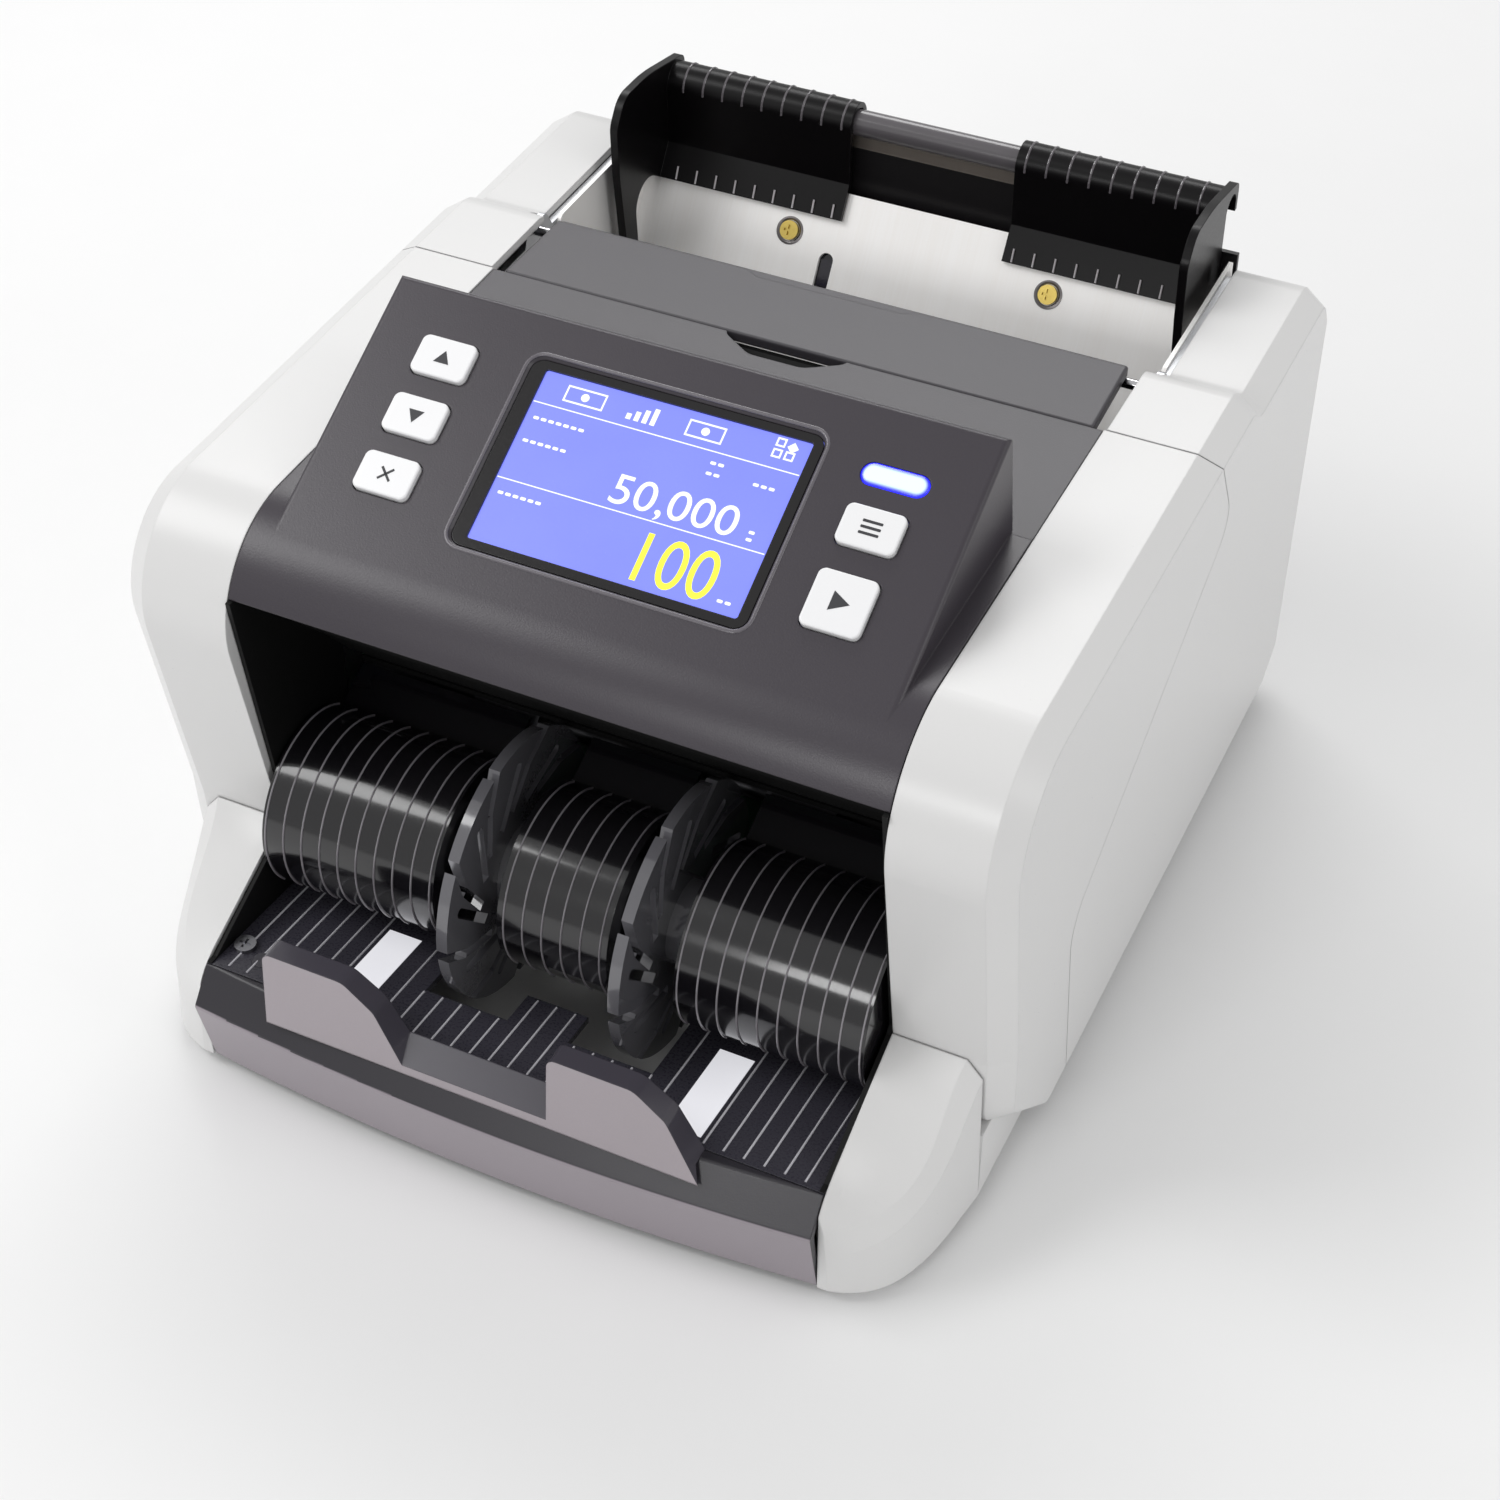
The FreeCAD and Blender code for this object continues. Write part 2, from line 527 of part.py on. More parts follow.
def panel_pieces():
    frame = flat_rounded(DISPLAY_U[0] + 0.15, DISPLAY_U[1] - 0.15, DISPLAY_V[0] + 0.15,
                         DISPLAY_V[1] - 0.15, 3.3, -3.0, -0.9)
    window = flat_rounded(-35.0, 38.5, -30.9, 18.1, 0.8, -6, 1)
    keep("display_bezel", frame.cut(window))
    screen = flat_rounded(-34.9, 38.4, -30.8, 18.0, 0.7, -3.0, -1.4)
    module = flat_rounded(-38.0, 41.0, -33.0, 20.0, 1.5, -6.8, -3.0)
    keep("display_screen", screen.fuse(module).removeSplitter())
    keep("status_light", flat_rounded(LED_U[0] + 0.1, LED_U[1] - 0.1, LED_V[0] + 0.1, LED_V[1] - 0.1,
                                      3.0, -5.0, 0.3))
    board = flat_rounded(-74.0, 74.0, -31.0, 24.0, 2.0, -10.0, -8.4)
    switches = []
    for name, (u, v, width, height) in KEYS.items():
        switches.append(flat_rounded(u - 3, u + 3, v - 3, v + 3, 0.5, -8.4, -7.25))
        hang = 1.0
        cap = flat_rounded(u - width / 2, u + width / 2, v - height / 2, v + height / 2, 2.0,
                           -3.2, KEY_HIGH)
        rim = [e for e in cap.Edges if abs(out_of_panel(e.CenterOfMass) - KEY_HIGH) < 1e-3]
        cap = cap.makeFillet(0.6, rim)
        flange = flat_rounded(u - width / 2 - hang, u + width / 2 + hang, v - height / 2 - hang,
                              v + height / 2 + hang, 2.5, -4.2, -3.2)
        stem = on_panel(Part.makeCylinder(2.0, 2.0, Vector(u, v, -6.1)))
        keep(name, cap.fuse([flange, stem]).removeSplitter())
    keep("console_board", board.fuse(switches).removeSplitter())


# ---------------------------------------------------------------- top frame and feed flap
def top_frame():
    plate = box(-CHANNEL + 0.3, CHANNEL - 0.3, -14.8, FLAP_FRONT - 0.6, TOP_Z - 3.2, TOP_Z - 0.3)
    finger = prism_z([(-17.9, 40), (-17.9, 34.5, 4), (-8, 28, 6), (8, 28, 6), (17.9, 34.5, 4), (17.9, 40)],
                     140, 160)
    ribs = [box(x - 1, x + 1, -13, 26, TOP_Z - 9, TOP_Z - 3.2) for x in (-70, -35, 35, 70)]
    keep("top_frame", plate.cut(finger).fuse(ribs).removeSplitter())


def feed_flap():
    top = TOP_Z - 0.4
    plate = prism_z([(-86.9, FLAP_FRONT, 1), (86.9, FLAP_FRONT, 1), (85.8, FLAP_REAR, 1.5),
                     (-85.8, FLAP_REAR, 1.5)], top - 3.0, top)
    edges = [e for e in plate.Edges if all(abs(v.Z - top) < 1e-6 for v in e.Vertexes)]
    plate = plate.makeFillet(0.8, edges)
    ledge = box(-90, 90, FLAP_REAR - 1.6, FLAP_REAR + 1, top - 1.0, top + 1)
    dip = prism_z([(-22, FLAP_REAR - 4), (22, FLAP_REAR - 4), (30, FLAP_REAR + 1), (-30, FLAP_REAR + 1)],
                  top - 1.0, top + 1)
    plate = plate.cut(ledge).cut(dip)
    barrel = cyl_x(HINGE_Y, HINGE_Z, 3.0, -84, 84)
    lip = box(-84, 84, HINGE_Y - 3, HINGE_Y, HINGE_Z, top - 2.5)
    whole = plate.fuse([barrel, lip]).cut(cyl_x(HINGE_Y, HINGE_Z, 1.56, -90, 90)).removeSplitter()
    keep("feed_flap", whole)
    keep("flap_hinge_rod", cyl_x(HINGE_Y, HINGE_Z, 1.5, -FRAME_OUT, FRAME_OUT))


# ---------------------------------------------------------------- hopper
SLOPE = (math.cos(math.radians(PLATE_ANGLE)), math.sin(math.radians(PLATE_ANGLE)))


def on_plate(down, out=0.0):
    """(Y, Z) of a point that far down the hopper plate from its top edge and in front of it."""
    return (PLATE_TOP_Y - down * SLOPE[0] - out * SLOPE[1],
            PLATE_TOP_Z - down * SLOPE[1] + out * SLOPE[0])


PLATE_LONG = 62.0
HOPPER_WALL_Z = 147.0
FEED_FLOOR_END = (74.5, 80.3)
PICKUP_X = (30.0, 46.0)
FEED_X = (8.0, 26.0)
DRIVE_X = (34.0, 54.0)


def hopper_plate():
    top_front, top_back = on_plate(0), on_plate(0, -PLATE_T)
    bend_front, bend_back = on_plate(PLATE_LONG), on_plate(PLATE_LONG - 0.6, -PLATE_T)
    sheet = prism_x([top_front, bend_front, FEED_FLOOR_END,
                     (FEED_FLOOR_END[0] + 0.4, FEED_FLOOR_END[1] - PLATE_T), bend_back, top_back],
                    -FRAME_IN, FRAME_IN)
    for side in (-1, 1):
        x0, x1 = sorted((side * (PICKUP_X[0] - 1), side * (PICKUP_X[1] + 1)))
        sheet = sheet.cut(box(x0, x1, PICKUP[0] - PICKUP[2], PICKUP[0] + PICKUP[2] - 1, 60, 100))
    wall = prism_x([on_plate(0.5, -0.5), (on_plate(0.5)[0], HOPPER_WALL_Z), (76.5, HOPPER_WALL_Z, 3),
                    (76.5, FEED_FLOOR_END[1] + 1), on_plate(PLATE_LONG, -0.5)], FRAME_IN - 1.2, FRAME_IN)
    sheet = fuse([sheet] + both_sides(wall))
    tilt = Vector(0, -SLOPE[1], SLOPE[0])
    screws = []
    for x in (-41.5, 41.5):
        dimple_y, dimple_z = on_plate(14.7, -0.45)
        sheet = sheet.cut(Part.makeCylinder(4.2, 3, Vector(x, dimple_y, dimple_z), tilt))
        screw = pan_screw(Vector(x, dimple_y, dimple_z), tilt, 2.9, 4.0)
        sheet = sheet.cut(screw)
        screws.append(screw)
    keep("hopper_screws", *screws)
    low, high = on_plate(28.3, -5), on_plate(20.9, -5)
    slot = [Part.makeCylinder(2.3, 12, Vector(-28, p[0], p[1]), tilt) for p in (low, high)]
    middle = slab_x(on_plate(28.3, 0), on_plate(20.9, 0), 9, -30.3, -25.7)
    slot_tool = slot[0].fuse([slot[1], middle])
    sheet = sheet.cut(slot_tool)
    keep("hopper_plate", sheet)
    lens = slab_x(on_plate(28.6, -1.6), on_plate(20.6, -1.6), 0.8, -29.9, -26.1)
    block = slab_x(on_plate(33, -5.2), on_plate(16.5, -5.2), 6.2, -35, -21)
    return block.fuse(lens).removeSplitter()


def hopper_frame():
    lower = box(-FRAME_IN, FRAME_IN, 140.1, 141.6, 118, 147)
    upper = box(-84, 84, 140.1, 141.6, 147, ROD_Z)
    strip = lower.fuse(upper).removeSplitter()
    keep("hopper_back_strip", strip)
    keep("hopper_rod", cyl_x(ROD_Y, ROD_Z, ROD_R, -84, 84).cut(box(-85, 85, 140.1, 141.6, 150, ROD_Z)))


def hopper_guide():
    """Right-hand guide: ribbed back on the plate, hook over the rod and outer wall."""
    x0, x1 = GUIDE_IN, GUIDE_OUT
    r_in = ROD_R + 0.4
    r_mid = r_in + GUIDE_T / 2
    back_y = ROD_Y - r_mid
    lift = 0.5 + GUIDE_T / 2
    start = on_plate(GUIDE_LIP, lift)
    foot = on_plate(0, lift)
    knee = (back_y, foot[1] + (back_y - foot[0]) * SLOPE[1] / SLOPE[0])
    pieces = [slab_x(start, knee, GUIDE_T, x0, x1),
              cyl_x(knee[0], knee[1], GUIDE_T / 2, x0, x1),
              slab_x(knee, (back_y, ROD_Z), GUIDE_T, x0, x1)]
    hook = ring_x(ROD_Y, ROD_Z, r_in + GUIDE_T, r_in, x0, x1)
    pieces.append(hook.common(box(x0, x1, 120, 160, ROD_Z, 180)))
    pieces.append(slab_x((ROD_Y + r_mid, ROD_Z - 3), (ROD_Y + r_mid, ROD_Z), GUIDE_T, x0, x1))
    wall = prism_x([(ROD_Y + r_in + GUIDE_T, ROD_Z), (ROD_Y + r_in + GUIDE_T, 166.0, 3), (124.0, 170.6, 60),
                    (109.0, 170.6, 8), (103.5, 163.0, 6), (104.0, 146.0, 20), (108.0, 113.0, 2),
                    (114.5, 114.0, 2), (112.5, 144.0, 8), on_plate(GUIDE_LIP, 0.5), knee,
                    (back_y, ROD_Z)], GUIDE_OUT - WALL, GUIDE_OUT)
    wall = wall.cut(cyl_x(ROD_Y, ROD_Z, r_in, 60, 100))
    wall = wall.cut(box(60, 100, ROD_Y - r_in, 160, 100, ROD_Z))
    return fuse(pieces + [wall])


def side_frame():
    outline = [(-91, 40, 6), (-91, 72, 6), (-60, 96, 6), (-60, 146, 4), (58, 146), (60, 151.2, 2),
               (71, 151.2, 2), (74, 146), (132, 146, 5), (137.2, 134),
               (137.2, BASE_RIM + 1), (131, BASE_RIM + 1), (131, 9), (-50, 9, 8), (-72, 40, 6)]
    plate = prism_x(outline, FRAME_IN, FRAME_OUT)
    for y, z, _ in SHAFTS:
        plate = plate.cut(cyl_x(y, z, BEARING_R + 0.01, 90, 100))
    plate = plate.cut(cyl_x(HINGE_Y, HINGE_Z, 1.5, 90, 100))
    left = mirrored(plate)
    for y, z, _ in (MAIN_MOTOR, STACK_MOTOR):
        left = left.cut(cyl_x(y, z, 5.0, -100, -90))
    keep("side_frames", left, plate)


# ---------------------------------------------------------------- drive
SHAFTS = [FEED, PICKUP, DRIVE_REAR, DRIVE_FRONT, SEPARATOR, PINCH_REAR, PINCH_FRONT,
          (STACKER_Y, STACKER_Z, WHEEL_R)]
LEFT_A, LEFT_B = (-105.0, -98.0), (-114.0, -107.0)
RIGHT_A = (98.0, 105.0)
STACKER_PULLEY = 7.0


def shaft(place, x0, x1):
    return cyl_x(place[0], place[1], SHAFT_R, x0, x1)


def tyres(place, span):
    """A pair of rollers on one shaft, one on each side of the middle."""
    y, z, r = place
    return both_sides(ring_x(y, z, r, SHAFT_R, span[0], span[1]))


def pulley(place, r, xs):
    y, z = place[0], place[1]
    rims = [ring_x(y, z, r + 1.8, SHAFT_R, xs[0], xs[0] + 0.6),
            ring_x(y, z, r + 1.8, SHAFT_R, xs[1] - 0.6, xs[1])]
    return ring_x(y, z, r, SHAFT_R, xs[0], xs[1]).fuse(rims).removeSplitter()


def inside(xs):
    """Belt width between a pulley's two rims."""
    return xs[0] + 1.0, xs[1] - 1.0


def drive_train():
    stacker = (STACKER_Y, STACKER_Z)
    keep("stacker_shaft", shaft(stacker, -106, 99), pulley(stacker, STACKER_PULLEY, LEFT_A))
    keep("stacking_wheels", *both_sides(stacking_wheel(WHEEL_X)))
    keep("feed_shaft", shaft(FEED, -115, 106), pulley(FEED, 14, LEFT_A), pulley(FEED, 9, LEFT_B),
         pulley(FEED, 8, RIGHT_A))
    keep("feed_rollers", *tyres(FEED, FEED_X))
    keep("pickup_shaft", shaft(PICKUP, -99, 106), pulley(PICKUP, 8, RIGHT_A))
    keep("pickup_rollers", *tyres(PICKUP, PICKUP_X))
    for name, place in (("rear", DRIVE_REAR), ("front", DRIVE_FRONT)):
        keep("drive_shaft_" + name, shaft(place, -115, 99), pulley(place, 9, LEFT_B))
        keep("drive_rollers_" + name, *tyres(place, DRIVE_X))
    for name, place in (("rear", PINCH_REAR), ("front", PINCH_FRONT)):
        rollers = tyres(place, DRIVE_X)
        keep("pinch_roller_" + name, fuse([shaft(place, -98, 98)] + rollers))
    y, z, r = SEPARATOR
    lobes = both_sides(cyl_x(y, z, r, FEED_X[0] + 2, FEED_X[1] - 2))
    keep("separator_roller", fuse([cyl_x(y, z, SHAFT_R, -98, 98)] + lobes))
    rings = []
    for y, z, _ in SHAFTS:
        rings += both_sides(ring_x(y, z, BEARING_R, BEARING_BORE, FRAME_IN, FRAME_IN + 4))
    keep("shaft_bearings", *rings)
    keep("drive_belts",
         belt((MAIN_MOTOR[0], MAIN_MOTOR[1], 7), (FEED[0], FEED[1], 14), *inside(LEFT_A)),
         belt((FEED[0], FEED[1], 9), (DRIVE_FRONT[0], DRIVE_FRONT[1], 9), *inside(LEFT_B)),
         belt((FEED[0], FEED[1], 8), (PICKUP[0], PICKUP[1], 8), *inside(RIGHT_A)),
         belt((*STACK_MOTOR[:2], 5), (*stacker, STACKER_PULLEY), *inside(LEFT_A)))
    cans = []
    for name, place, r, length in (("main", MAIN_MOTOR, 7, 52), ("stacker", STACK_MOTOR, 5, 40)):
        y, z, body_r = place
        cans.append(ring_x(y, z, body_r, SHAFT_R + 0.04, -FRAME_IN, -FRAME_IN + length))
        rotor = fuse([shaft(place, -106, -FRAME_IN + length), pulley(place, r, LEFT_A)])
        keep(name + "_motor_rotor", rotor)
    keep("motor_bodies", *cans)


# ---------------------------------------------------------------- note path and electronics
def window(sheet, place, span, extra):
    """Cut the two holes that a roller pair needs in a flat path plate."""
    y, _, r = place
    for x0, x1 in (span, (-span[1], -span[0])):
        sheet = sheet.cut(box(x0 - 1, x1 + 1, y - extra, y + extra, 70, 95))
    return sheet


def note_path():
    half = CHANNEL - 1.5
    lower = box(-half, half, PATH_FRONT, 73.5, PATH_Z - 2.4, PATH_Z - 0.9)
    for place, span in ((FEED, FEED_X), (DRIVE_REAR, DRIVE_X), (DRIVE_FRONT, DRIVE_X)):
        lower = window(lower, place, span, 10)
    slot = box(-84, 84, -18, -8, 60, 100)
    upper = box(-half, half, PATH_FRONT, 44, PATH_Z + 1.2, PATH_Z + 2.6)
    for place in (PINCH_REAR, PINCH_FRONT):
        upper = window(upper, place, DRIVE_X, 8)
    keep("note_path_plates", lower.cut(slot), upper.cut(slot))
    upper_bar = fuse([box(-86, 86, -24, -2, PATH_Z + 2.6, 100),
                      box(-83, 83, -17, -9, PATH_Z + 1.4, PATH_Z + 2.7)])
    lower_bar = fuse([box(-86, 86, -20, -6, 60, PATH_Z - 2.4),
                      box(-83, 83, -17, -9, PATH_Z - 2.5, PATH_Z - 1.1)])
    keep("image_sensor_bars", upper_bar, lower_bar)
    chute = [slab_x((-93.9, 142.0), (-96.0, 133.4), 2, -half, half), cyl_x(-96.0, 133.4, 1, -half, half),
             slab_x((-96.0, 133.4), (-66, 100), 2, -half, half), cyl_x(-66, 100, 1, -half, half),
             slab_x((-66, 100), (-55.5, 86.5), 2, -half, half)]
    arm_line = [(y, top - 1.0) for y, top, _, _, _ in ARM_SECTIONS if y > STOP_REAR]
    shelf = [(STOP_REAR, arm_line[-1][1]), (STOP_REAR, floor_height(STOP_REAR) + 0.1),
             (FLOOR_REAR[0], floor_height(FLOOR_REAR[0]) + 0.1), (CHEEK_DEPTH - 1, 34)]
    front = [(CHEEK_DEPTH - 1, COVER_LOW - 0.3), (FRONT_TOP[0] + 6.5, COVER_LOW - 0.3),
             (FRONT_LOW[0] + 1.2, arm_line[0][1] + 2)]
    cheek = prism_x(shelf + front + arm_line, CHANNEL - 1.6, CHANNEL - 0.3)
    cheek = cheek.cut(cyl_x(STACKER_Y, STACKER_Z, SHAFT_R + 0.5, 80, 95))
    keep("stacker_chute", fuse(chute + both_sides(cheek)))


INLET_X, INLET_Z = 62.0, 34.0
SWITCH_X = 28.0
PANEL_IN, PANEL_OUT = 137.5, 140.0
ROCKER_HALF = 9.0       # the rocker rests tipped this far to its off side


def rear_parts():
    panel = box(-FRAME_OUT + 0.2, FRAME_OUT - 0.2, PANEL_IN, PANEL_OUT, 8, 131)
    for i in range(9):
        z = 70 + i * 5
        panel = panel.cut(box(-70, -20, PANEL_IN - 1, PANEL_OUT + 1, z, z + 2))
        panel = panel.cut(box(20, 70, PANEL_IN - 1, PANEL_OUT + 1, z, z + 2))
    inlet_tool = box(INLET_X - 14, INLET_X + 14, 120, 150, INLET_Z - 10, INLET_Z + 10)
    switch_tool = box(SWITCH_X - 7.6, SWITCH_X + 7.6, 120, 150, INLET_Z - 11.1, INLET_Z + 11.1)
    panel = panel.cut(inlet_tool).cut(switch_tool)
    screws = [pan_screw(Vector(x, PANEL_OUT, z), Vector(0, 1, 0), 3.0, 2.5)
              for x in (-88, 88) for z in (16, 64, 112)]
    for screw in screws:
        panel = panel.cut(screw)
    keep("rear_panel", panel)
    body = box(INLET_X - 13.9, INLET_X + 13.9, 122, PANEL_OUT + 0.6, INLET_Z - 9.9, INLET_Z + 9.9)
    socket = box(INLET_X - 11.5, INLET_X + 11.5, 125, 150, INLET_Z - 7.5, INLET_Z + 7.5)
    pins = [box(INLET_X + dx - 1, INLET_X + dx + 1, 125, 138, INLET_Z - 3, INLET_Z + 3)
            for dx in (-7, 0, 7)]
    frame = box(SWITCH_X - 7.5, SWITCH_X + 7.5, 122, PANEL_OUT + 0.8, INLET_Z - 11, INLET_Z + 11)
    frame = frame.cut(box(SWITCH_X - 6, SWITCH_X + 6, 124, 150, INLET_Z - 9.5, INLET_Z + 9.5))
    keep("power_inlet", body.cut(socket).fuse(pins).removeSplitter(), frame)
    pivot = Vector(SWITCH_X, 136.5, INLET_Z)
    high = 8.3
    rocker = prism_x([(135, INLET_Z - high), (140.6, INLET_Z - high), (138.2, INLET_Z),
                      (140.6, INLET_Z + high), (135, INLET_Z + high), (131.5, INLET_Z)],
                     SWITCH_X - 5.6, SWITCH_X + 5.6)
    rocker.rotate(pivot, Vector(1, 0, 0), ROCKER_HALF)
    keep("power_rocker", rocker)
    return screws


def electronics():
    board = box(-84, 84, -44, 66, BOARD_Z, BOARD_Z + 1.6)
    chips = [box(-30, 0, -10, 20, 13.6, 16), box(30, 46, -20, -4, 13.6, 15.4),
             box(-70, -40, 30, 48, 13.6, 24), box(20, 70, 40, 52, 13.6, 22)]
    board = board.cut(cyl_x(STACK_MOTOR[0], STACK_MOTOR[1], STACK_MOTOR[2] + 2, -90, -48))
    keep("main_board", fuse([board] + chips))
    keep("power_supply", box(0, 86, 72, 118, FOOT_H + WALL, 46))
    feet = [Part.makeCylinder(9, FOOT_H, Vector(x, y, 0)) for x in (-96, 96) for y in (-98, 118)]
    keep("rubber_feet", *feet)


# ---------------------------------------------------------------- build
def build():
    side_shells()
    lower_housing()
    front_lip()
    floor_screws, floor_eyes = stacker_floor()
    note_stopper()
    drum_guides()
    console_cover()
    panel_pieces()
    top_frame()
    feed_flap()
    plate_sensor = hopper_plate()
    keep("note_sensors", plate_sensor, *floor_eyes)
    hopper_frame()
    guide = hopper_guide()
    keep("hopper_guide_right", guide)
    keep("hopper_guide_left", mirrored(guide))
    side_frame()
    drive_train()
    note_path()
    panel_screws = rear_parts()
    keep("cover_screws", *floor_screws, *panel_screws)
    electronics()


os.makedirs("parts", exist_ok=True)
build()
whole = Part.makeCompound(list(PARTS.values()))
for node, shape in PARTS.items():
    if not shape.isValid() or shape.Volume <= 0:
        print("check", node, shape.isValid(), round(shape.Volume, 1))
    shape.exportStep("parts/" + node + ".step")
span = whole.BoundBox
print(len(PARTS), "nodes; X", round(span.XMin, 1), round(span.XMax, 1), "Y", round(span.YMin, 1),
      round(span.YMax, 1), "Z", round(span.ZMin, 1), round(span.ZMax, 1))
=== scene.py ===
import json
import math

import bmesh
import bpy
from mathutils import Matrix, Vector


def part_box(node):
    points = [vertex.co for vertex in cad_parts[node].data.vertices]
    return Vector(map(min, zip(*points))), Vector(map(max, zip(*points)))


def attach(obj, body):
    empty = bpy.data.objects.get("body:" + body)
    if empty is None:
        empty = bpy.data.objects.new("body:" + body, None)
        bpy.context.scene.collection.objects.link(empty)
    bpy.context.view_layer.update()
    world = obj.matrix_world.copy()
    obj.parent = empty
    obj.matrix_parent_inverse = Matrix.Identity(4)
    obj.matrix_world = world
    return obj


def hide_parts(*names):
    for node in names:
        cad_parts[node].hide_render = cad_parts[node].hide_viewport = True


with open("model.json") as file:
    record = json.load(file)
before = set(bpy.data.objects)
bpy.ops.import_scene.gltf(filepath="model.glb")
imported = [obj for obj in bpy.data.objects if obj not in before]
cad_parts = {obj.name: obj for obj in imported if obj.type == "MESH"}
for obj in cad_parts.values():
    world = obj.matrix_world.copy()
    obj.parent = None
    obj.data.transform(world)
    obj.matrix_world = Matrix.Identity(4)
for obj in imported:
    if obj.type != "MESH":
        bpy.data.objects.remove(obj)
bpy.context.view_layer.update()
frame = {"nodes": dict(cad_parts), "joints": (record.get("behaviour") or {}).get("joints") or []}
NODES = frame["nodes"]
MM = 0.001
X_AXIS = Vector((1, 0, 0))


# ---------------------------------------------------------------- frame measures
def corners_of(node):
    """Lowest and highest corner of a CAD node in millimetres."""
    low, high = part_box(node)
    return low / MM, high / MM


JOINTS = {joint["name"]: joint for joint in frame["joints"]}
PRESS = Vector(JOINTS["key_up_press"]["axis"])          # into the operating panel
PANEL_TILT = math.atan2(PRESS.y, -PRESS.z)
PANEL_UP = Vector((0, math.cos(PANEL_TILT), math.sin(PANEL_TILT)))
PANEL_OUT = -PRESS
KEY_NAMES = ("key_up", "key_down", "key_clear", "key_menu", "key_start")
STACKER_AXIS = Vector(JOINTS["stacker_spin"]["pos_m"]) / MM


def panel_span(node, slack=0.2):
    """Across, up and outward ranges (mm) of a node's outermost face, along the panel."""
    points = [v.co / MM for v in NODES[node].data.vertices]
    front = max(p.dot(PANEL_OUT) for p in points)
    face = [p for p in points if p.dot(PANEL_OUT) > front - slack]
    across = [p.x for p in face]
    up = [p.dot(PANEL_UP) for p in face]
    return min(across), max(across), min(up), max(up), front


def panel_matrix(across, up, out):
    """Places a flat drawing (metres) on the panel, its +Z along the panel's outward side."""
    spot = Vector((across, 0, 0)) + PANEL_UP * up + PANEL_OUT * out
    turn = Matrix((Vector((1, 0, 0)), PANEL_UP, PANEL_OUT)).transposed().to_4x4()
    return Matrix.Translation(spot * MM) @ turn


# ---------------------------------------------------------------- materials
def colour_mix(tree, factor, first, second):
    """Output of a Mix node between two colours, each a colour or a socket."""
    blend = tree.nodes.new("ShaderNodeMix")
    blend.data_type = "RGBA"
    tree.links.new(factor, blend.inputs["Factor"])
    for socket, value in (("A", first), ("B", second)):
        if isinstance(value, bpy.types.NodeSocket):
            tree.links.new(value, blend.inputs[socket])
        else:
            blend.inputs[socket].default_value = (*value, 1)
    return blend.outputs["Result"]


SLOW_DRIFT = 28.0       # noise scale of the colour drift
BUMP_DEPTH = 0.0002


def surface(name, colour, rough, metallic=0.0, coat=0.0, grain=1400.0, bump=0.05,
            tint=0.06, rough_swing=0.05, stretch=(1, 1, 1), specular=0.5, edge=0.0):
    """Procedural moulded or machined surface: grain, slow colour drift and uneven gloss."""
    mat = bpy.data.materials.new(name)
    mat.use_nodes = True
    nodes, links = mat.node_tree.nodes, mat.node_tree.links
    shader = nodes["Principled BSDF"]
    shader.inputs["Metallic"].default_value = metallic
    shader.inputs["Coat Weight"].default_value = coat
    shader.inputs["Coat Roughness"].default_value = 0.08
    shader.inputs["Specular IOR Level"].default_value = specular
    place = nodes.new("ShaderNodeTexCoord")
    mapping = nodes.new("ShaderNodeMapping")
    mapping.inputs["Scale"].default_value = stretch
    links.new(place.outputs["Object"], mapping.inputs["Vector"])

    def noise(scale, detail):
        node = nodes.new("ShaderNodeTexNoise")
        node.inputs["Scale"].default_value = scale
        node.inputs["Detail"].default_value = detail
        links.new(mapping.outputs["Vector"], node.inputs["Vector"])
        return node

    fine, slow = noise(grain, 3), noise(SLOW_DRIFT, 2)
    dark = [c * (1 - tint) for c in colour]
    light = [min(1.0, c * (1 + tint)) for c in colour]
    mixed = nodes.new("ShaderNodeMath")
    mixed.operation = "MULTIPLY_ADD"
    mixed.inputs[1].default_value = 0.5
    half = nodes.new("ShaderNodeMath")
    half.operation = "MULTIPLY"
    half.inputs[1].default_value = 0.5
    links.new(slow.outputs["Fac"], half.inputs[0])
    links.new(fine.outputs["Fac"], mixed.inputs[0])
    links.new(half.outputs[0], mixed.inputs[2])
    links.new(colour_mix(mat.node_tree, mixed.outputs[0], dark, light), shader.inputs["Base Color"])
    gloss = nodes.new("ShaderNodeMapRange")
    gloss.inputs["To Min"].default_value = max(0.02, rough - rough_swing)
    gloss.inputs["To Max"].default_value = rough + rough_swing
    links.new(fine.outputs["Fac"], gloss.inputs["Value"])
    links.new(gloss.outputs["Result"], shader.inputs["Roughness"])
    relief = nodes.new("ShaderNodeBump")
    relief.inputs["Strength"].default_value = bump
    relief.inputs["Distance"].default_value = BUMP_DEPTH
    links.new(fine.outputs["Fac"], relief.inputs["Height"])
    if edge:
        soft = nodes.new("ShaderNodeBevel")
        soft.samples = 4
        soft.inputs["Radius"].default_value = edge * MM
        links.new(soft.outputs["Normal"], relief.inputs["Normal"])
    links.new(relief.outputs["Normal"], shader.inputs["Normal"])
    return mat


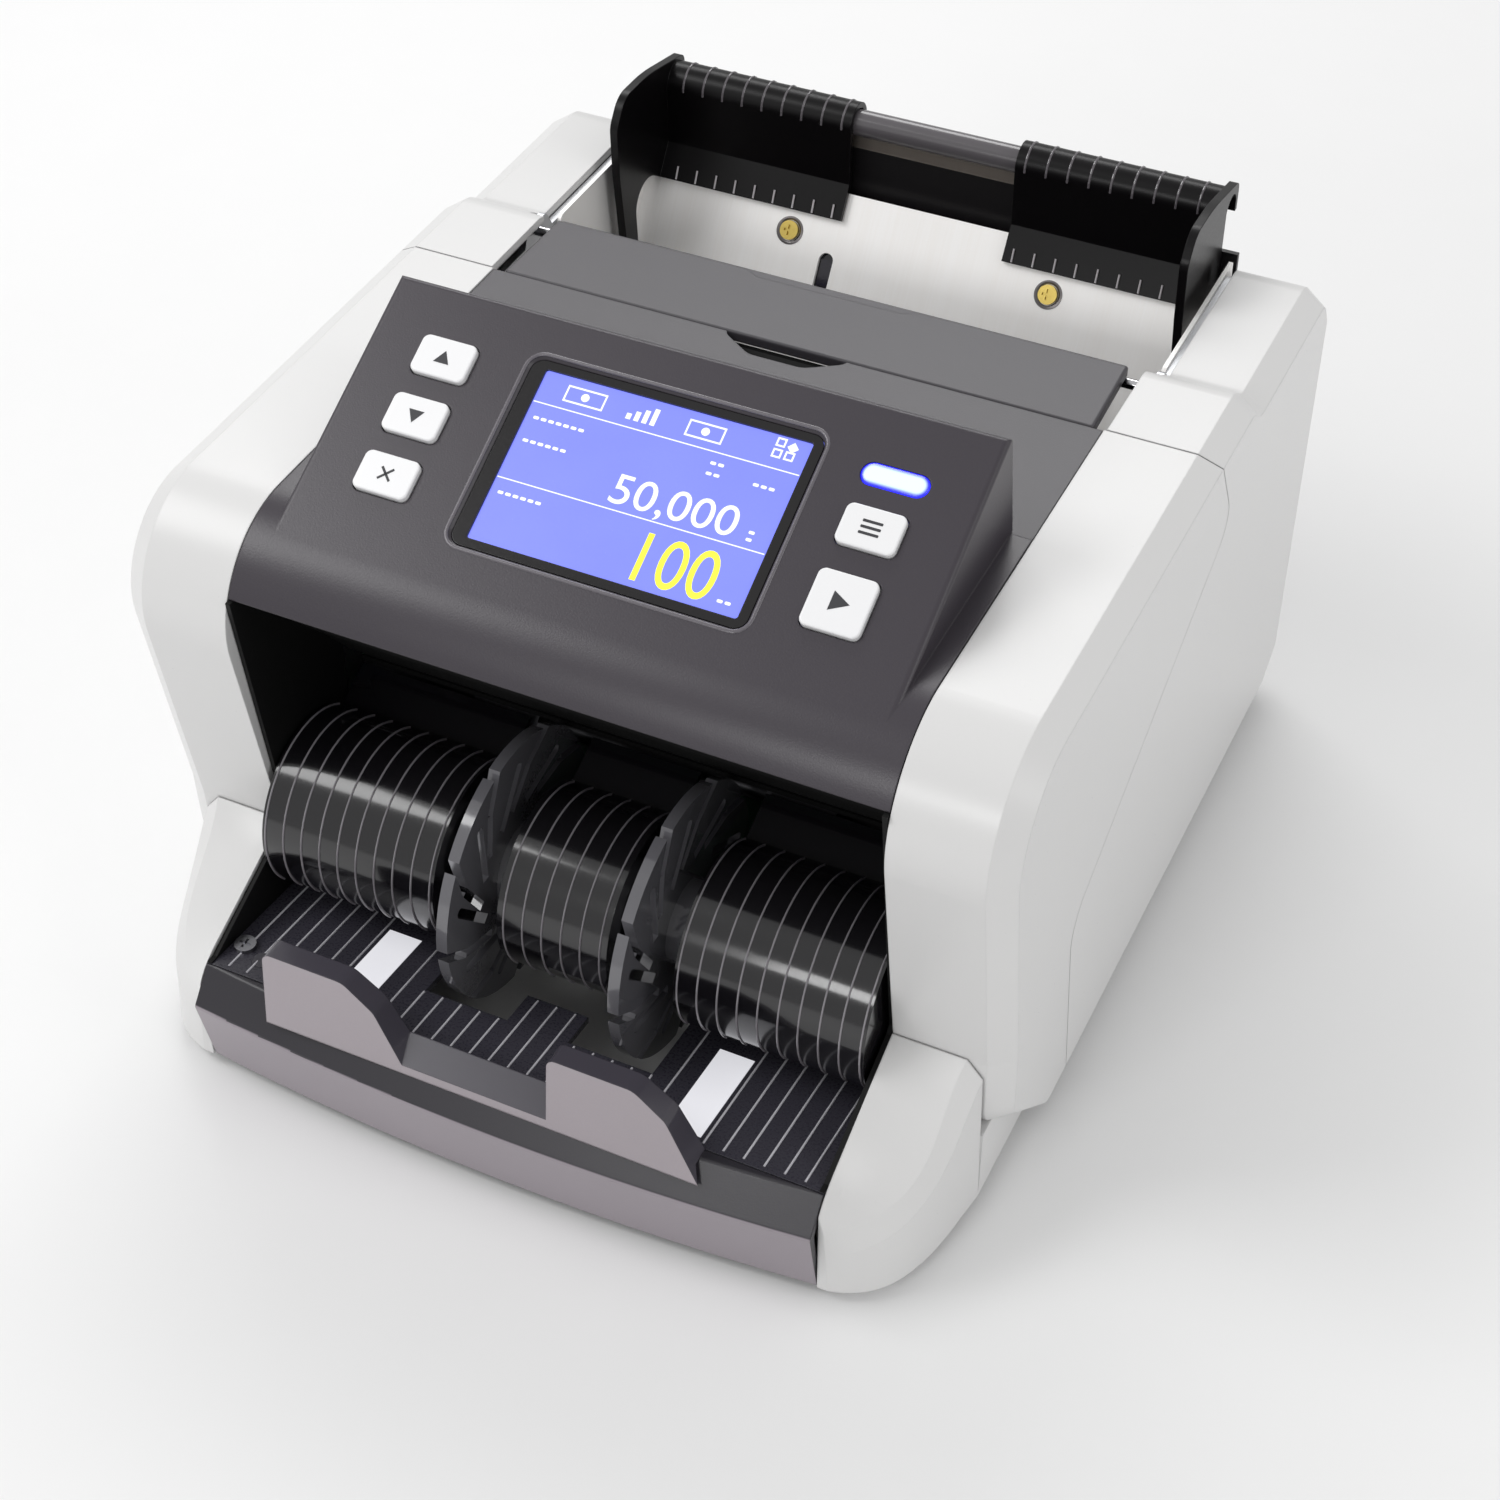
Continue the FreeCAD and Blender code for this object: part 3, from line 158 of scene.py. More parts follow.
def front_sheen_plastic(name, upper, front, rough, sheen_from, coat=0.0):
    """Satin plastic whose front face is painted lighter than its slopes, ends and top: a painted
    sheen of a light in front, on plastic that is dark all over.
    """
    mat = surface(name, front, rough, tint=0.07, bump=0.08, grain=2200, edge=0.5, coat=coat)
    nodes, links = mat.node_tree.nodes, mat.node_tree.links
    shader = nodes["Principled BSDF"]
    plain = shader.inputs["Base Color"].links[0].from_socket
    lean = nodes.new("ShaderNodeNewGeometry")
    split = nodes.new("ShaderNodeSeparateXYZ")
    links.new(lean.outputs["Normal"], split.inputs["Vector"])
    ramp = nodes.new("ShaderNodeMapRange")
    ramp.interpolation_type = "SMOOTHSTEP"
    ramp.inputs["From Min"].default_value = -sheen_from - 0.08
    ramp.inputs["From Max"].default_value = -sheen_from + 0.08
    links.new(split.outputs["Y"], ramp.inputs["Value"])
    links.new(colour_mix(mat.node_tree, ramp.outputs["Result"], plain, upper),
              shader.inputs["Base Color"])
    return mat


def painted_shade_below(name, above, height, dark):
    """A finish painted dark below a height (mm): painted shade where the part goes down into
    shadow.
    """
    mat = above.copy()
    mat.name = name
    nodes, links = mat.node_tree.nodes, mat.node_tree.links
    shader = nodes["Principled BSDF"]
    plain = shader.inputs["Base Color"].links[0].from_socket
    place = nodes.new("ShaderNodeTexCoord")
    split = nodes.new("ShaderNodeSeparateXYZ")
    links.new(place.outputs["Object"], split.inputs["Vector"])
    ramp = nodes.new("ShaderNodeMapRange")
    ramp.inputs["From Min"].default_value = (height - 0.1) * MM
    ramp.inputs["From Max"].default_value = (height + 0.1) * MM
    links.new(split.outputs["Z"], ramp.inputs["Value"])
    links.new(colour_mix(mat.node_tree, ramp.outputs["Result"], dark, plain),
              shader.inputs["Base Color"])
    links.new(ramp.outputs["Result"], shader.inputs["Metallic"])
    return mat


def lit(name, low, high, strength, scale=60.0):
    """Glowing surface whose colour drifts a little between two tints."""
    mat = surface(name, [c * 0.5 for c in low], 0.25, coat=0.3, tint=0.03)
    nodes, links = mat.node_tree.nodes, mat.node_tree.links
    shader = nodes["Principled BSDF"]
    drift = nodes.new("ShaderNodeTexNoise")
    drift.inputs["Scale"].default_value = scale
    place = nodes.new("ShaderNodeTexCoord")
    links.new(place.outputs["Object"], drift.inputs["Vector"])
    links.new(colour_mix(mat.node_tree, drift.outputs["Fac"], low, high),
              shader.inputs["Emission Color"])
    shader.inputs["Emission Strength"].default_value = strength
    return mat


WHITE = surface("white_abs", (0.705, 0.702, 0.698), 0.30, tint=0.010, bump=0.03, edge=0.6)
CONSOLE = surface("console_abs", (0.043, 0.037, 0.046), 0.32, tint=0.10, bump=0.14,
                  grain=2200, edge=0.5)
GREY = surface("frame_abs", (0.058, 0.054, 0.062), 0.36, tint=0.08, bump=0.14,
               grain=2200, edge=0.4)
BLACK = surface("gloss_black_abs", (0.005, 0.004, 0.005), 0.16, coat=0.2, tint=0.10,
                bump=0.02, edge=0.3)
DRUM = surface("drum_abs", (0.006, 0.0055, 0.007), 0.15, coat=0.6, tint=0.10,
               bump=0.02, edge=0.3)
FLOOR = surface("floor_abs", (0.040, 0.038, 0.050), 0.28, tint=0.12, bump=0.06, edge=0.3)
# Floor ribs: light grey as a painted highlight on crests of the floor's dark plastic.
FLOOR_RIB_HIGHLIGHT = surface("floor_rib_painted_highlight", (0.62, 0.61, 0.65), 0.18, coat=0.4, tint=0.08, bump=0.02)
# Lip and paddle: the light front colour is a painted sheen; the dark upper colour is the plastic's
# own.
LIP = front_sheen_plastic("lip_abs_front_sheen", (0.026, 0.024, 0.030), (0.30, 0.265, 0.295), 0.34, 0.88)
BEAD_HIGHLIGHT = surface("bead_painted_highlight", (0.12, 0.11, 0.125), 0.26, coat=0.3, tint=0.10, bump=0.06, grain=2200)
STOPPER = front_sheen_plastic("stopper_abs_front_sheen", (0.060, 0.055, 0.070), (0.36, 0.32, 0.345), 0.24, 0.80, coat=0.3)
GUIDE = surface("guide_abs", (0.0035, 0.003, 0.0035), 0.30, tint=0.10, bump=0.02,
                edge=0.4, specular=0.22)
LIP_RIB_HIGHLIGHT = surface("lip_rib_painted_highlight", (0.55, 0.52, 0.54), 0.30, tint=0.10, bump=0.02)
DRUM_RIB_HIGHLIGHT = surface("drum_rib_painted_highlight", (0.26, 0.245, 0.265), 0.16, coat=0.6, tint=0.10, bump=0.02)
RIDGE = surface("ridge_abs", (0.11, 0.10, 0.11), 0.18, coat=0.5, tint=0.10, bump=0.02)
STEEL = surface("brushed_plate", (1.0, 0.965, 0.925), 0.46, metallic=0.35, grain=240, bump=0.16,
                tint=0.11, rough_swing=0.12, stretch=(6.0, 0.10, 0.10))
ZINC = surface("zinc_sheet", (0.60, 0.61, 0.63), 0.38, metallic=1.0, grain=90, bump=0.03, tint=0.12)
SHAFT = surface("ground_shaft", (0.70, 0.70, 0.72), 0.16, metallic=1.0, grain=600,
                stretch=(6, 1, 1))
DARK_SHAFT = surface("blackened_shaft", (0.03, 0.03, 0.032), 0.35, metallic=1.0, grain=600,
                     stretch=(6, 1, 1))
ROD = surface("rod_abs", (0.10, 0.092, 0.10), 0.20, coat=0.4, tint=0.06, bump=0.02)
RUBBER = surface("roller_rubber", (0.030, 0.030, 0.034), 0.78, grain=900, bump=0.25)
BELT = surface("belt_rubber", (0.022, 0.022, 0.022), 0.70, grain=700, bump=0.20)
FOOT = surface("foot_rubber", (0.035, 0.035, 0.035), 0.82, grain=800, bump=0.20)
KEY = surface("key_white", (0.86, 0.86, 0.87), 0.30, tint=0.01, bump=0.02)
MARK = surface("key_marking", (0.03, 0.03, 0.035), 0.50, tint=0.10)
BOARD = surface("solder_mask", (0.012, 0.10, 0.045), 0.35, grain=300, tint=0.25)
YELLOW = surface("yellow_zinc", (0.62, 0.47, 0.13), 0.30, metallic=1.0, grain=500, tint=0.15)
SCREW = surface("nickel_screw", (0.30, 0.30, 0.32), 0.30, metallic=1.0, grain=500, tint=0.12)
DIMPLE_SHADE = surface("dimple_painted_shade", (0.16, 0.15, 0.15), 0.30, metallic=1.0, grain=400, tint=0.2)
WHEEL = surface("wheel_plastic", (0.12, 0.118, 0.13), 0.12, coat=1.0, tint=0.10, bump=0.02)
# The white strips also glow: painted light, as the strips are no lamp.
REFLECT_FILM_GLOW = lit("reflective_film_painted_glow", (0.90, 0.90, 0.95), (0.95, 0.95, 1.0), 0.62)
LENS = surface("sensor_window", (0.012, 0.010, 0.020), 0.08, coat=0.6, tint=0.2)
MOTOR = surface("motor_paint", (0.05, 0.05, 0.055), 0.40, tint=0.10, bump=0.06)
CASE = surface("supply_case", (0.62, 0.63, 0.65), 0.36, metallic=1.0, grain=120, tint=0.08)
NYLON = surface("black_nylon", (0.004, 0.004, 0.004), 0.60, tint=0.12, bump=0.10, specular=0.25)
STRIP_STEEL = surface("strip_steel", (0.62, 0.55, 0.49), 0.42, metallic=1.0, grain=260,
                      stretch=(7.0, 0.12, 0.12))
# Back strip: bare steel at the top, painted shade below, where it falls into the dark hopper.
SHADE_TOP = 152.6     # mm
STRIP = painted_shade_below("strip_painted_shade", STRIP_STEEL, SHADE_TOP, (0.006, 0.005, 0.006))
SCREEN = lit("backlit_screen", (0.17, 0.20, 0.86), (0.20, 0.24, 0.93), 0.95)
SCREEN_WHITE = lit("screen_white", (0.85, 0.88, 1.0), (0.92, 0.94, 1.0), 0.9)
SCREEN_YELLOW = lit("screen_yellow", (0.90, 0.88, 0.05), (0.95, 0.92, 0.07), 0.9)

FINISH = {
    "front_shell_left": WHITE, "front_shell_right": WHITE, "rear_shell_left": WHITE,
    "rear_shell_right": WHITE, "lower_housing": WHITE, "front_lip": LIP, "stacker_floor": FLOOR,
    "reflector_strips": REFLECT_FILM_GLOW, "note_stopper": STOPPER, "drum_guides": DRUM,
    "console_cover": CONSOLE, "display_bezel": BLACK,
    "display_screen": SCREEN, "status_light": SCREEN, "console_board": BOARD, "top_frame": GREY,
    "feed_flap": GREY, "flap_hinge_rod": SHAFT, "hopper_screws": YELLOW, "cover_screws": SCREW,
    "hopper_plate": STEEL, "note_sensors": LENS, "hopper_back_strip": STRIP,
    "hopper_rod": ROD, "hopper_guide_left": GUIDE, "hopper_guide_right": GUIDE,
    "side_frames": ZINC, "stacker_shaft": SHAFT, "stacking_wheels": WHEEL, "feed_shaft": SHAFT,
    "feed_rollers": RUBBER, "pickup_shaft": SHAFT, "pickup_rollers": RUBBER,
    "drive_shaft_rear": SHAFT, "drive_shaft_front": DARK_SHAFT, "drive_rollers_rear": RUBBER,
    "drive_rollers_front": RUBBER, "pinch_roller_rear": RUBBER, "pinch_roller_front": RUBBER,
    "separator_roller": RUBBER, "shaft_bearings": SHAFT, "drive_belts": BELT,
    "motor_bodies": MOTOR, "main_motor_rotor": SHAFT, "stacker_motor_rotor": SHAFT,
    "note_path_plates": NYLON, "image_sensor_bars": LENS, "stacker_chute": NYLON,
    "rear_panel": GREY, "power_inlet": NYLON, "power_rocker": NYLON, "main_board": BOARD,
    "power_supply": CASE, "rubber_feet": FOOT}
FINISH.update({name: KEY for name in KEY_NAMES})


def finish_nodes():
    """Gives every CAD node its finish through the object's own slot."""
    for name, node in NODES.items():
        if not node.data.materials:
            node.data.materials.append(None)
        for spot in node.material_slots:
            spot.link = "OBJECT"
            spot.material = FINISH[name]


# ---------------------------------------------------------------- mesh helpers
def piece(name, mesh, material, body):
    """A made piece that rides on a body, with the given material in its own slot."""
    thing = bpy.data.objects.new(name, mesh)
    bpy.context.scene.collection.objects.link(thing)
    mesh.materials.clear()
    mesh.materials.append(material)
    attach(thing, body)
    return thing


def mesh_from(build):
    """Mesh (metres) from a function that fills a bmesh."""
    bm = bmesh.new()
    build(bm)
    bmesh.ops.remove_doubles(bm, verts=bm.verts, dist=1e-7)
    bmesh.ops.recalc_face_normals(bm, faces=bm.faces)
    mesh = bpy.data.meshes.new("made")
    bm.to_mesh(mesh)
    bm.free()
    return mesh


def bridge(bm, rows, closed=False):
    """Skin over neighbouring loops of vertices: capped at both ends, or closed into a ring."""
    for first, second in zip(rows, rows[1:] + rows[:1] if closed else rows[1:]):
        for i in range(len(first)):
            j = (i + 1) % len(first)
            bm.faces.new((first[i], first[j], second[j], second[i]))
    if not closed:
        bm.faces.new(rows[0])
        bm.faces.new(list(reversed(rows[-1])))


def smooth(mesh):
    """Shades a mesh without facets."""
    for polygon in mesh.polygons:
        polygon.use_smooth = True


CORNER_STEPS = 5


def plate_outline(points, radius):
    """Corner-rounded outline through 2-D points."""
    if not radius:
        return [Vector(p) for p in points]
    made = []
    count = len(points)
    for i in range(count):
        here = Vector(points[i])
        before = (Vector(points[i - 1]) - here).normalized()
        after = (Vector(points[(i + 1) % count]) - here).normalized()
        half = before.angle(after) / 2
        run = radius / math.tan(half)
        start, end = here + before * run, here + after * run
        centre = here + (before + after).normalized() * (radius / math.sin(half))
        for k in range(CORNER_STEPS + 1):
            spoke = (start - centre).slerp(end - centre, k / CORNER_STEPS).normalized()
            made.append(centre + spoke * radius)
    return made


def on_panel(name, outlines, across, up, out, thick, material, body):
    """Thin raised drawing on the panel, made of several 2-D outlines in mm."""
    def build(bm):
        for outline in outlines:
            bridge(bm, [[bm.verts.new((p.x * MM, p.y * MM, z * MM)) for p in outline]
                        for z in (0.0, thick)])
    mesh = mesh_from(build)
    mesh.transform(panel_matrix(across, up, out))
    return piece(name, mesh, material, body)


def rect(u0, v0, u1, v1, radius=0.0):
    return plate_outline([(u0, v0), (u1, v0), (u1, v1), (u0, v1)], radius)


# ---------------------------------------------------------------- display
# Places are shares of the screen's width and height, from its upper left corner.
DRAWING_LIFT, DRAWING_THICK, DIGIT_THICK = 0.06, 0.08, 0.04     # mm
RULES = (0.184, 0.636)
FRAMES = ((0.875, 0.125), (0.92, 0.125), (0.875, 0.062))
DIAMOND, DIAMOND_R = (0.938, 0.052), 1.5
NOTES = ((0.10, 0.14, 11.0), (0.56, 0.14, 10.0))                # place and width in mm
NOTE_HIGH, NOTE_DISC_R = 4.6, 1.1
BARS, BAR_PITCH, BAR_WIDE = (0.34, 0.14), 2.2, 1.3
DASHES = ((0.03, 0.285, 7), (0.03, 0.42, 6), (0.03, 0.73, 6), (0.69, 0.26, 2), (0.69, 0.32, 2),
          (0.86, 0.31, 3), (0.915, 0.56, 1), (0.915, 0.60, 1), (0.91, 0.95, 2))   # place, count
DASH_PITCH, DASH_WIDE = 2.1, 1.5


def screen_text(name, words, size, across, up, out, material, stretch=1.0):
    """Raised digits on the screen, as a real mesh."""
    curve = bpy.data.curves.new(name, "FONT")
    curve.body = words
    curve.size = size * MM
    curve.extrude = DIGIT_THICK * MM
    curve.resolution_u = 6
    curve.align_x = "RIGHT"
    holder = bpy.data.objects.new(name + "_text", curve)
    bpy.context.scene.collection.objects.link(holder)
    bpy.context.view_layer.update()
    mesh = bpy.data.meshes.new_from_object(holder)
    bpy.data.objects.remove(holder)
    mesh.transform(panel_matrix(across, up, out) @ Matrix.Diagonal((stretch, 1, 1, 1)))
    return piece(name, mesh, material, "root")


def display():
    """Plain numbers, rules and icons, raised a little from the screen."""
    u0, u1, v0, v1, out = panel_span("display_screen")
    wide, high = u1 - u0, v1 - v0
    out += DRAWING_LIFT

    def at(fx, fy):
        return u0 + fx * wide, v1 - fy * high

    def draw(name, outlines):
        on_panel(name, outlines, 0, 0, out, DRAWING_THICK, SCREEN_WHITE, "root")

    screen_text("display_amount", "50,000", 11.6, *at(0.872, 0.598), out, SCREEN_WHITE, 1.10)
    screen_text("display_pieces", "100", 19.0, *at(0.885, 0.962), out, SCREEN_YELLOW, 0.86)
    lines = []
    for fy in RULES:
        x, y = at(0.0, fy)
        lines.append(rect(x + 0.3, y - 0.14, x + wide - 0.3, y + 0.14))
    draw("display_rules", lines)
    icons = []
    for spot in FRAMES:
        icons += frame_icon(*at(*spot), 2.5, 2.4)
    x, y = at(*DIAMOND)
    icons.append([Vector((x + DIAMOND_R * math.cos(a), y + DIAMOND_R * math.sin(a)))
                  for a in (0, math.pi / 2, math.pi, 1.5 * math.pi)])
    for fx, fy, width in NOTES:
        icons += note_icon(*at(fx, fy), width, NOTE_HIGH)
    x, y = at(*BARS)
    icons += [rect(x + i * BAR_PITCH, y, x + i * BAR_PITCH + BAR_WIDE, y + 1.6 + i * 1.0)
              for i in range(4)]
    for fx, fy, count in DASHES:
        x, y = at(fx, fy)
        icons += [rect(x + i * DASH_PITCH, y + 0.3, x + i * DASH_PITCH + DASH_WIDE, y + 1.1, 0.3)
                  for i in range(count)]
    draw("display_icons", icons)


BEAD_PROFILE = ((-0.55, -0.3), (-0.55, 0.05), (-0.3, 0.22), (0.0, 0.28),
                (0.3, 0.22), (0.55, 0.05), (0.55, -0.3))        # outward and height, mm
BEAD_MARGIN, BEAD_CORNER = 1.3, 4.6


def display_bead():
    """Rounded bead along the rim of the display's recess, lighter than the console as a painted
    highlight on the rim.
    """
    u0, u1, v0, v1, _ = panel_span("display_bezel")
    out = panel_span("console_cover")[4]
    middle = Vector(((u0 + u1) / 2, (v0 + v1) / 2))
    outline = rect(u0 - middle.x - BEAD_MARGIN, v0 - middle.y - BEAD_MARGIN,
                   u1 - middle.x + BEAD_MARGIN, v1 - middle.y + BEAD_MARGIN, BEAD_CORNER)

    def build(bm):
        rows = []
        for i, p in enumerate(outline):
            run = (outline[(i + 1) % len(outline)] - outline[i - 1]).normalized()
            away = Vector((run.y, -run.x))
            rows.append([bm.verts.new(((p.x + away.x * a) * MM, (p.y + away.y * a) * MM, h * MM))
                         for a, h in BEAD_PROFILE])
        bridge(bm, rows, closed=True)

    mesh = mesh_from(build)
    smooth(mesh)
    mesh.transform(panel_matrix(middle.x, middle.y, out))
    return piece("display_recess_bead", mesh, BEAD_HIGHLIGHT, "root")


def frame_icon(x, y, width, height, line=0.45):
    """Four bars round a small square."""
    return [rect(x, y, x + width, y + line), rect(x, y + height - line, x + width, y + height),
            rect(x, y + line, x + line, y + height - line),
            rect(x + width - line, y + line, x + width, y + height - line)]


def note_icon(x, y, width, height):
    """Outline of a banknote with a plain disc in its middle."""
    disc = [Vector((x + width / 2 + NOTE_DISC_R * math.cos(k * math.pi / 10),
                    y + height / 2 + NOTE_DISC_R * math.sin(k * math.pi / 10))) for k in range(20)]
    return frame_icon(x, y, width, height) + [disc]


# ---------------------------------------------------------------- keys and status light
def key_marks():
    """Arrows, cross, bars and triangle, each riding on its own key."""
    up_arrow = [Vector((-2.2, -1.6)), Vector((2.2, -1.6)), Vector((0, 2.0))]
    down_arrow = [Vector((-2.2, 1.6)), Vector((0, -2.0)), Vector((2.2, 1.6))]
    cross = []
    for turn in (math.pi / 4, -math.pi / 4):
        arm = Vector((math.cos(turn), math.sin(turn))) * 2.4
        side = Vector((-arm.y, arm.x)).normalized() * 0.32
        cross.append([-arm - side, arm - side, arm + side, -arm + side])
    bars = [rect(-2.6, dy - 0.36, 2.6, dy + 0.36, 0.2) for dy in (-1.6, 0.0, 1.6)]
    play = [Vector((-2.0, -2.6)), Vector((2.8, 0)), Vector((-2.0, 2.6))]
    marks = {"key_up": [up_arrow], "key_down": [down_arrow], "key_clear": cross, "key_menu": bars,
             "key_start": [play]}
    for name, outlines in marks.items():
        u0, u1, v0, v1, out = panel_span(name, 0.05)
        on_panel(name + "_mark", outlines, (u0 + u1) / 2, (v0 + v1) / 2, out + 0.01, 0.05, MARK,
                 name)


DOME_PROFILE = ((1.0, -4.0), (1.0, -0.35), (0.97, -0.05), (0.85, 0.2), (0.6, 0.38),
                (0.3, 0.46), (0.02, 0.5))       # share of the radius and height in mm


def status_light():
    """Domed pill that glows blue with a pale core along its middle."""
    u0, u1, v0, v1, out = panel_span("status_light")
    radius = (v1 - v0) / 2
    half = (u1 - u0) / 2 - radius
    middle_u, middle_v = (u0 + u1) / 2, (v0 + v1) / 2

    def build(bm):
        rows = []
        for share, lift in DOME_PROFILE:
            row = []
            for side in (1, -1):
                for k in range(13):
                    turn = (0 if side == 1 else math.pi) + (k - 6) * math.pi / 12
                    x = side * half + radius * share * math.cos(turn)
                    y = radius * share * math.sin(turn)
                    row.append(bm.verts.new((x * MM, y * MM, lift * MM)))
            rows.append(row)
        bridge(bm, rows)

    mesh = mesh_from(build)
    smooth(mesh)
    mat = lit("status_glow", (0.02, 0.03, 1.0), (0.04, 0.08, 1.0), 1.5, 200.0)
    nodes, links = mat.node_tree.nodes, mat.node_tree.links
    place = nodes.new("ShaderNodeTexCoord")
    rise = nodes.new("ShaderNodeVectorMath")
    rise.operation = "DOT_PRODUCT"
    rise.inputs[1].default_value = PANEL_OUT
    links.new(place.outputs["Object"], rise.inputs[0])
    ramp = nodes.new("ShaderNodeMapRange")
    ramp.interpolation_type = "SMOOTHSTEP"
    ramp.inputs["From Min"].default_value = (out - 0.15) * MM
    ramp.inputs["From Max"].default_value = (out + 0.12) * MM
    links.new(rise.outputs["Value"], ramp.inputs["Value"])
    glow = colour_mix(mat.node_tree, ramp.outputs["Result"], (0.02, 0.02, 1.0), (0.62, 0.80, 1.0))
    links.new(glow, nodes["Principled BSDF"].inputs["Emission Color"])
    mesh.transform(panel_matrix(middle_u, middle_v, out - 0.3))
    lamp = piece("status_light_pill", mesh, mat, "root")
    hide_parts("status_light")


# ---------------------------------------------------------------- ribs
RIB_PITCH = 5.6
GUIDE_PITCH = 6.5
RIB_PROFILE = ((-0.5, -0.25), (-0.5, 0.3), (-0.3, 0.8), (0.0, 1.0),
               (0.3, 0.8), (0.5, 0.3), (0.5, -0.25))        # shares of width and height
DRUM_ARC = (52, 6.2, 28)        # start and step in degrees, count of points
HOOK_ARC = (-4, 13.2, 15)


def add_rib(bm, path, across, width, height):
    """Rounded closed rib along path, a list of (point, normal) in mm; across is its width axis."""
    bridge(bm, [[bm.verts.new((point + across * (a * width) + normal * (b * height)) * MM)
                 for a, b in RIB_PROFILE] for point, normal in path])


def arc_path(x, centre, radius, arc):
    """Points and outward normals along an arc round centre, in the plane at x (mm)."""
    start, step, count = arc
    path = []
    for k in range(count):
        turn = math.radians(start + k * step)
        normal = Vector((0, math.cos(turn), math.sin(turn)))
        path.append((Vector((x, centre.y, centre.z)) + normal * radius, normal))
    return path


def spans_of(node):
    """Start and end along X (mm) of each group of faces that overlap one another."""
    mesh = NODES[node].data
    ranges = sorted((min(mesh.vertices[i].co.x for i in p.vertices) / MM,
                     max(mesh.vertices[i].co.x for i in p.vertices) / MM) for p in mesh.polygons)
    spans = []
    for low, high in ranges:
        if spans and low < spans[-1][1] + 0.05:
            spans[-1][1] = max(spans[-1][1], high)
        else:
            spans.append([low, high])
    return spans


def floor_ribs():
    """Raised lines on the stacker floor, clear of the wheel notches and the white strips, coloured
    light as painted highlights on their crests.
    """
    points = [v.co / MM for v in NODES["stacker_floor"].data.vertices]
    low, high = corners_of("stacker_floor")
    strips = [v.co.x / MM for v in NODES["reflector_strips"].data.vertices if v.co.x > 0]
    rear_top = max(p.z for p in points if p.y > high.y - 0.01)
    run = high.y - low.y
    slope = math.atan2(high.z - rear_top, run)
    along = Vector((0, math.cos(slope), -math.sin(slope)))
    normal = Vector((0, math.sin(slope), math.cos(slope)))
    start = Vector((0, low.y, high.z))
    inner = [p for p in points if low.y + 5 < p.y < high.y - 1]
    notch_y = min(p.y for p in inner if abs(p.x) < 40)
    notch_x = max(abs(p.x) for p in inner if abs(p.y - notch_y) < 0.1)
    tongue_x = min(abs(p.x) for p in inner if abs(p.y - notch_y) < 0.1)
    tongue_y = min(p.y for p in inner if abs(p.x) < tongue_x + 0.1 and p.y > notch_y + 1)

    def build(bm):
        count = int((high.x - 3) / RIB_PITCH)
        for i in range(-count, count + 1):
            x = i * RIB_PITCH
            if min(strips) - 1 < abs(x) < max(strips) + 1:
                continue
            end = high.y - 3
            if tongue_x - 1 < abs(x) < notch_x + 1:
                end = notch_y - 0.5
            elif abs(x) <= tongue_x - 1:
                end = tongue_y - 0.5
            lengths = [1.5, (end - low.y) * 0.5, end - low.y]
            path = [(start + along * d + X_AXIS * x, normal) for d in lengths]
            add_rib(bm, path, X_AXIS, 0.6, 0.35)

    return piece("stacker_floor_ribs", mesh_from(build), FLOOR_RIB_HIGHLIGHT, "root")


def drum_ribs():
    """Fine hoops round the front of each drum cover, grey as a painted highlight on the black drum
    plastic.
    """
    radius = corners_of("drum_guides")[1].z - STACKER_AXIS.z

    def build(bm):
        for x0, x1 in spans_of("drum_guides"):
            count = int((x1 - x0 - 2) / RIB_PITCH)
            for i in range(count + 1):
                x = (x0 + x1) / 2 + (i - count / 2) * RIB_PITCH
                add_rib(bm, arc_path(x, STACKER_AXIS, radius, DRUM_ARC), X_AXIS, 0.5, 0.45)

    return piece("drum_guide_ribs", mesh_from(build), DRUM_RIB_HIGHLIGHT, "root")


def guide_ribs(side):
    """Ridges over the hook and down the lip of one sliding guide; the lip ridges are light grey as
    a painted highlight.
    """
    node = "hopper_guide_" + side
    low, high = corners_of(node)
    rod_low, rod_high = corners_of("hopper_rod")
    rod = Vector((0, (rod_low.y + rod_high.y) / 2, (rod_low.z + rod_high.z) / 2))
    radius = high.y - rod.y
    inner, outer = sorted((abs(low.x), abs(high.x)))
    lip_points = [v.co / MM for v in NODES[node].data.vertices if abs(v.co.x / MM) < inner + 0.1]
    toe = min(lip_points, key=lambda p: p.z)
    knee = max((p for p in lip_points if p.z < rod.z - 12), key=lambda p: p.z)
    rise = Vector((0, knee.y - toe.y, knee.z - toe.z)).normalized()
    normal = Vector((0, -rise.z, rise.y))
    face = max((p - toe).dot(normal) for p in lip_points if p.z < toe.z + 2)

    count = int((outer - inner - 4) / GUIDE_PITCH)
    sign = 1 if side == "right" else -1
    places = [(inner + 3 + i * GUIDE_PITCH) * sign for i in range(count + 1)]

    def build_hook(bm):
        for x in places:
            add_rib(bm, arc_path(x, rod, radius, HOOK_ARC), X_AXIS, 0.7, 0.35)

    def build_lip(bm):
        for x in places:
            base = Vector((x, toe.y, toe.z)) + normal * face
            add_rib(bm, [(base + rise * d, normal) for d in (0.6, 2.6, 4.6)], X_AXIS, 0.55, 0.3)

    piece(node + "_ribs", mesh_from(build_hook), RIDGE, "guide_" + side)
    piece(node + "_lip_rib_highlights", mesh_from(build_lip), LIP_RIB_HIGHLIGHT, "guide_" + side)


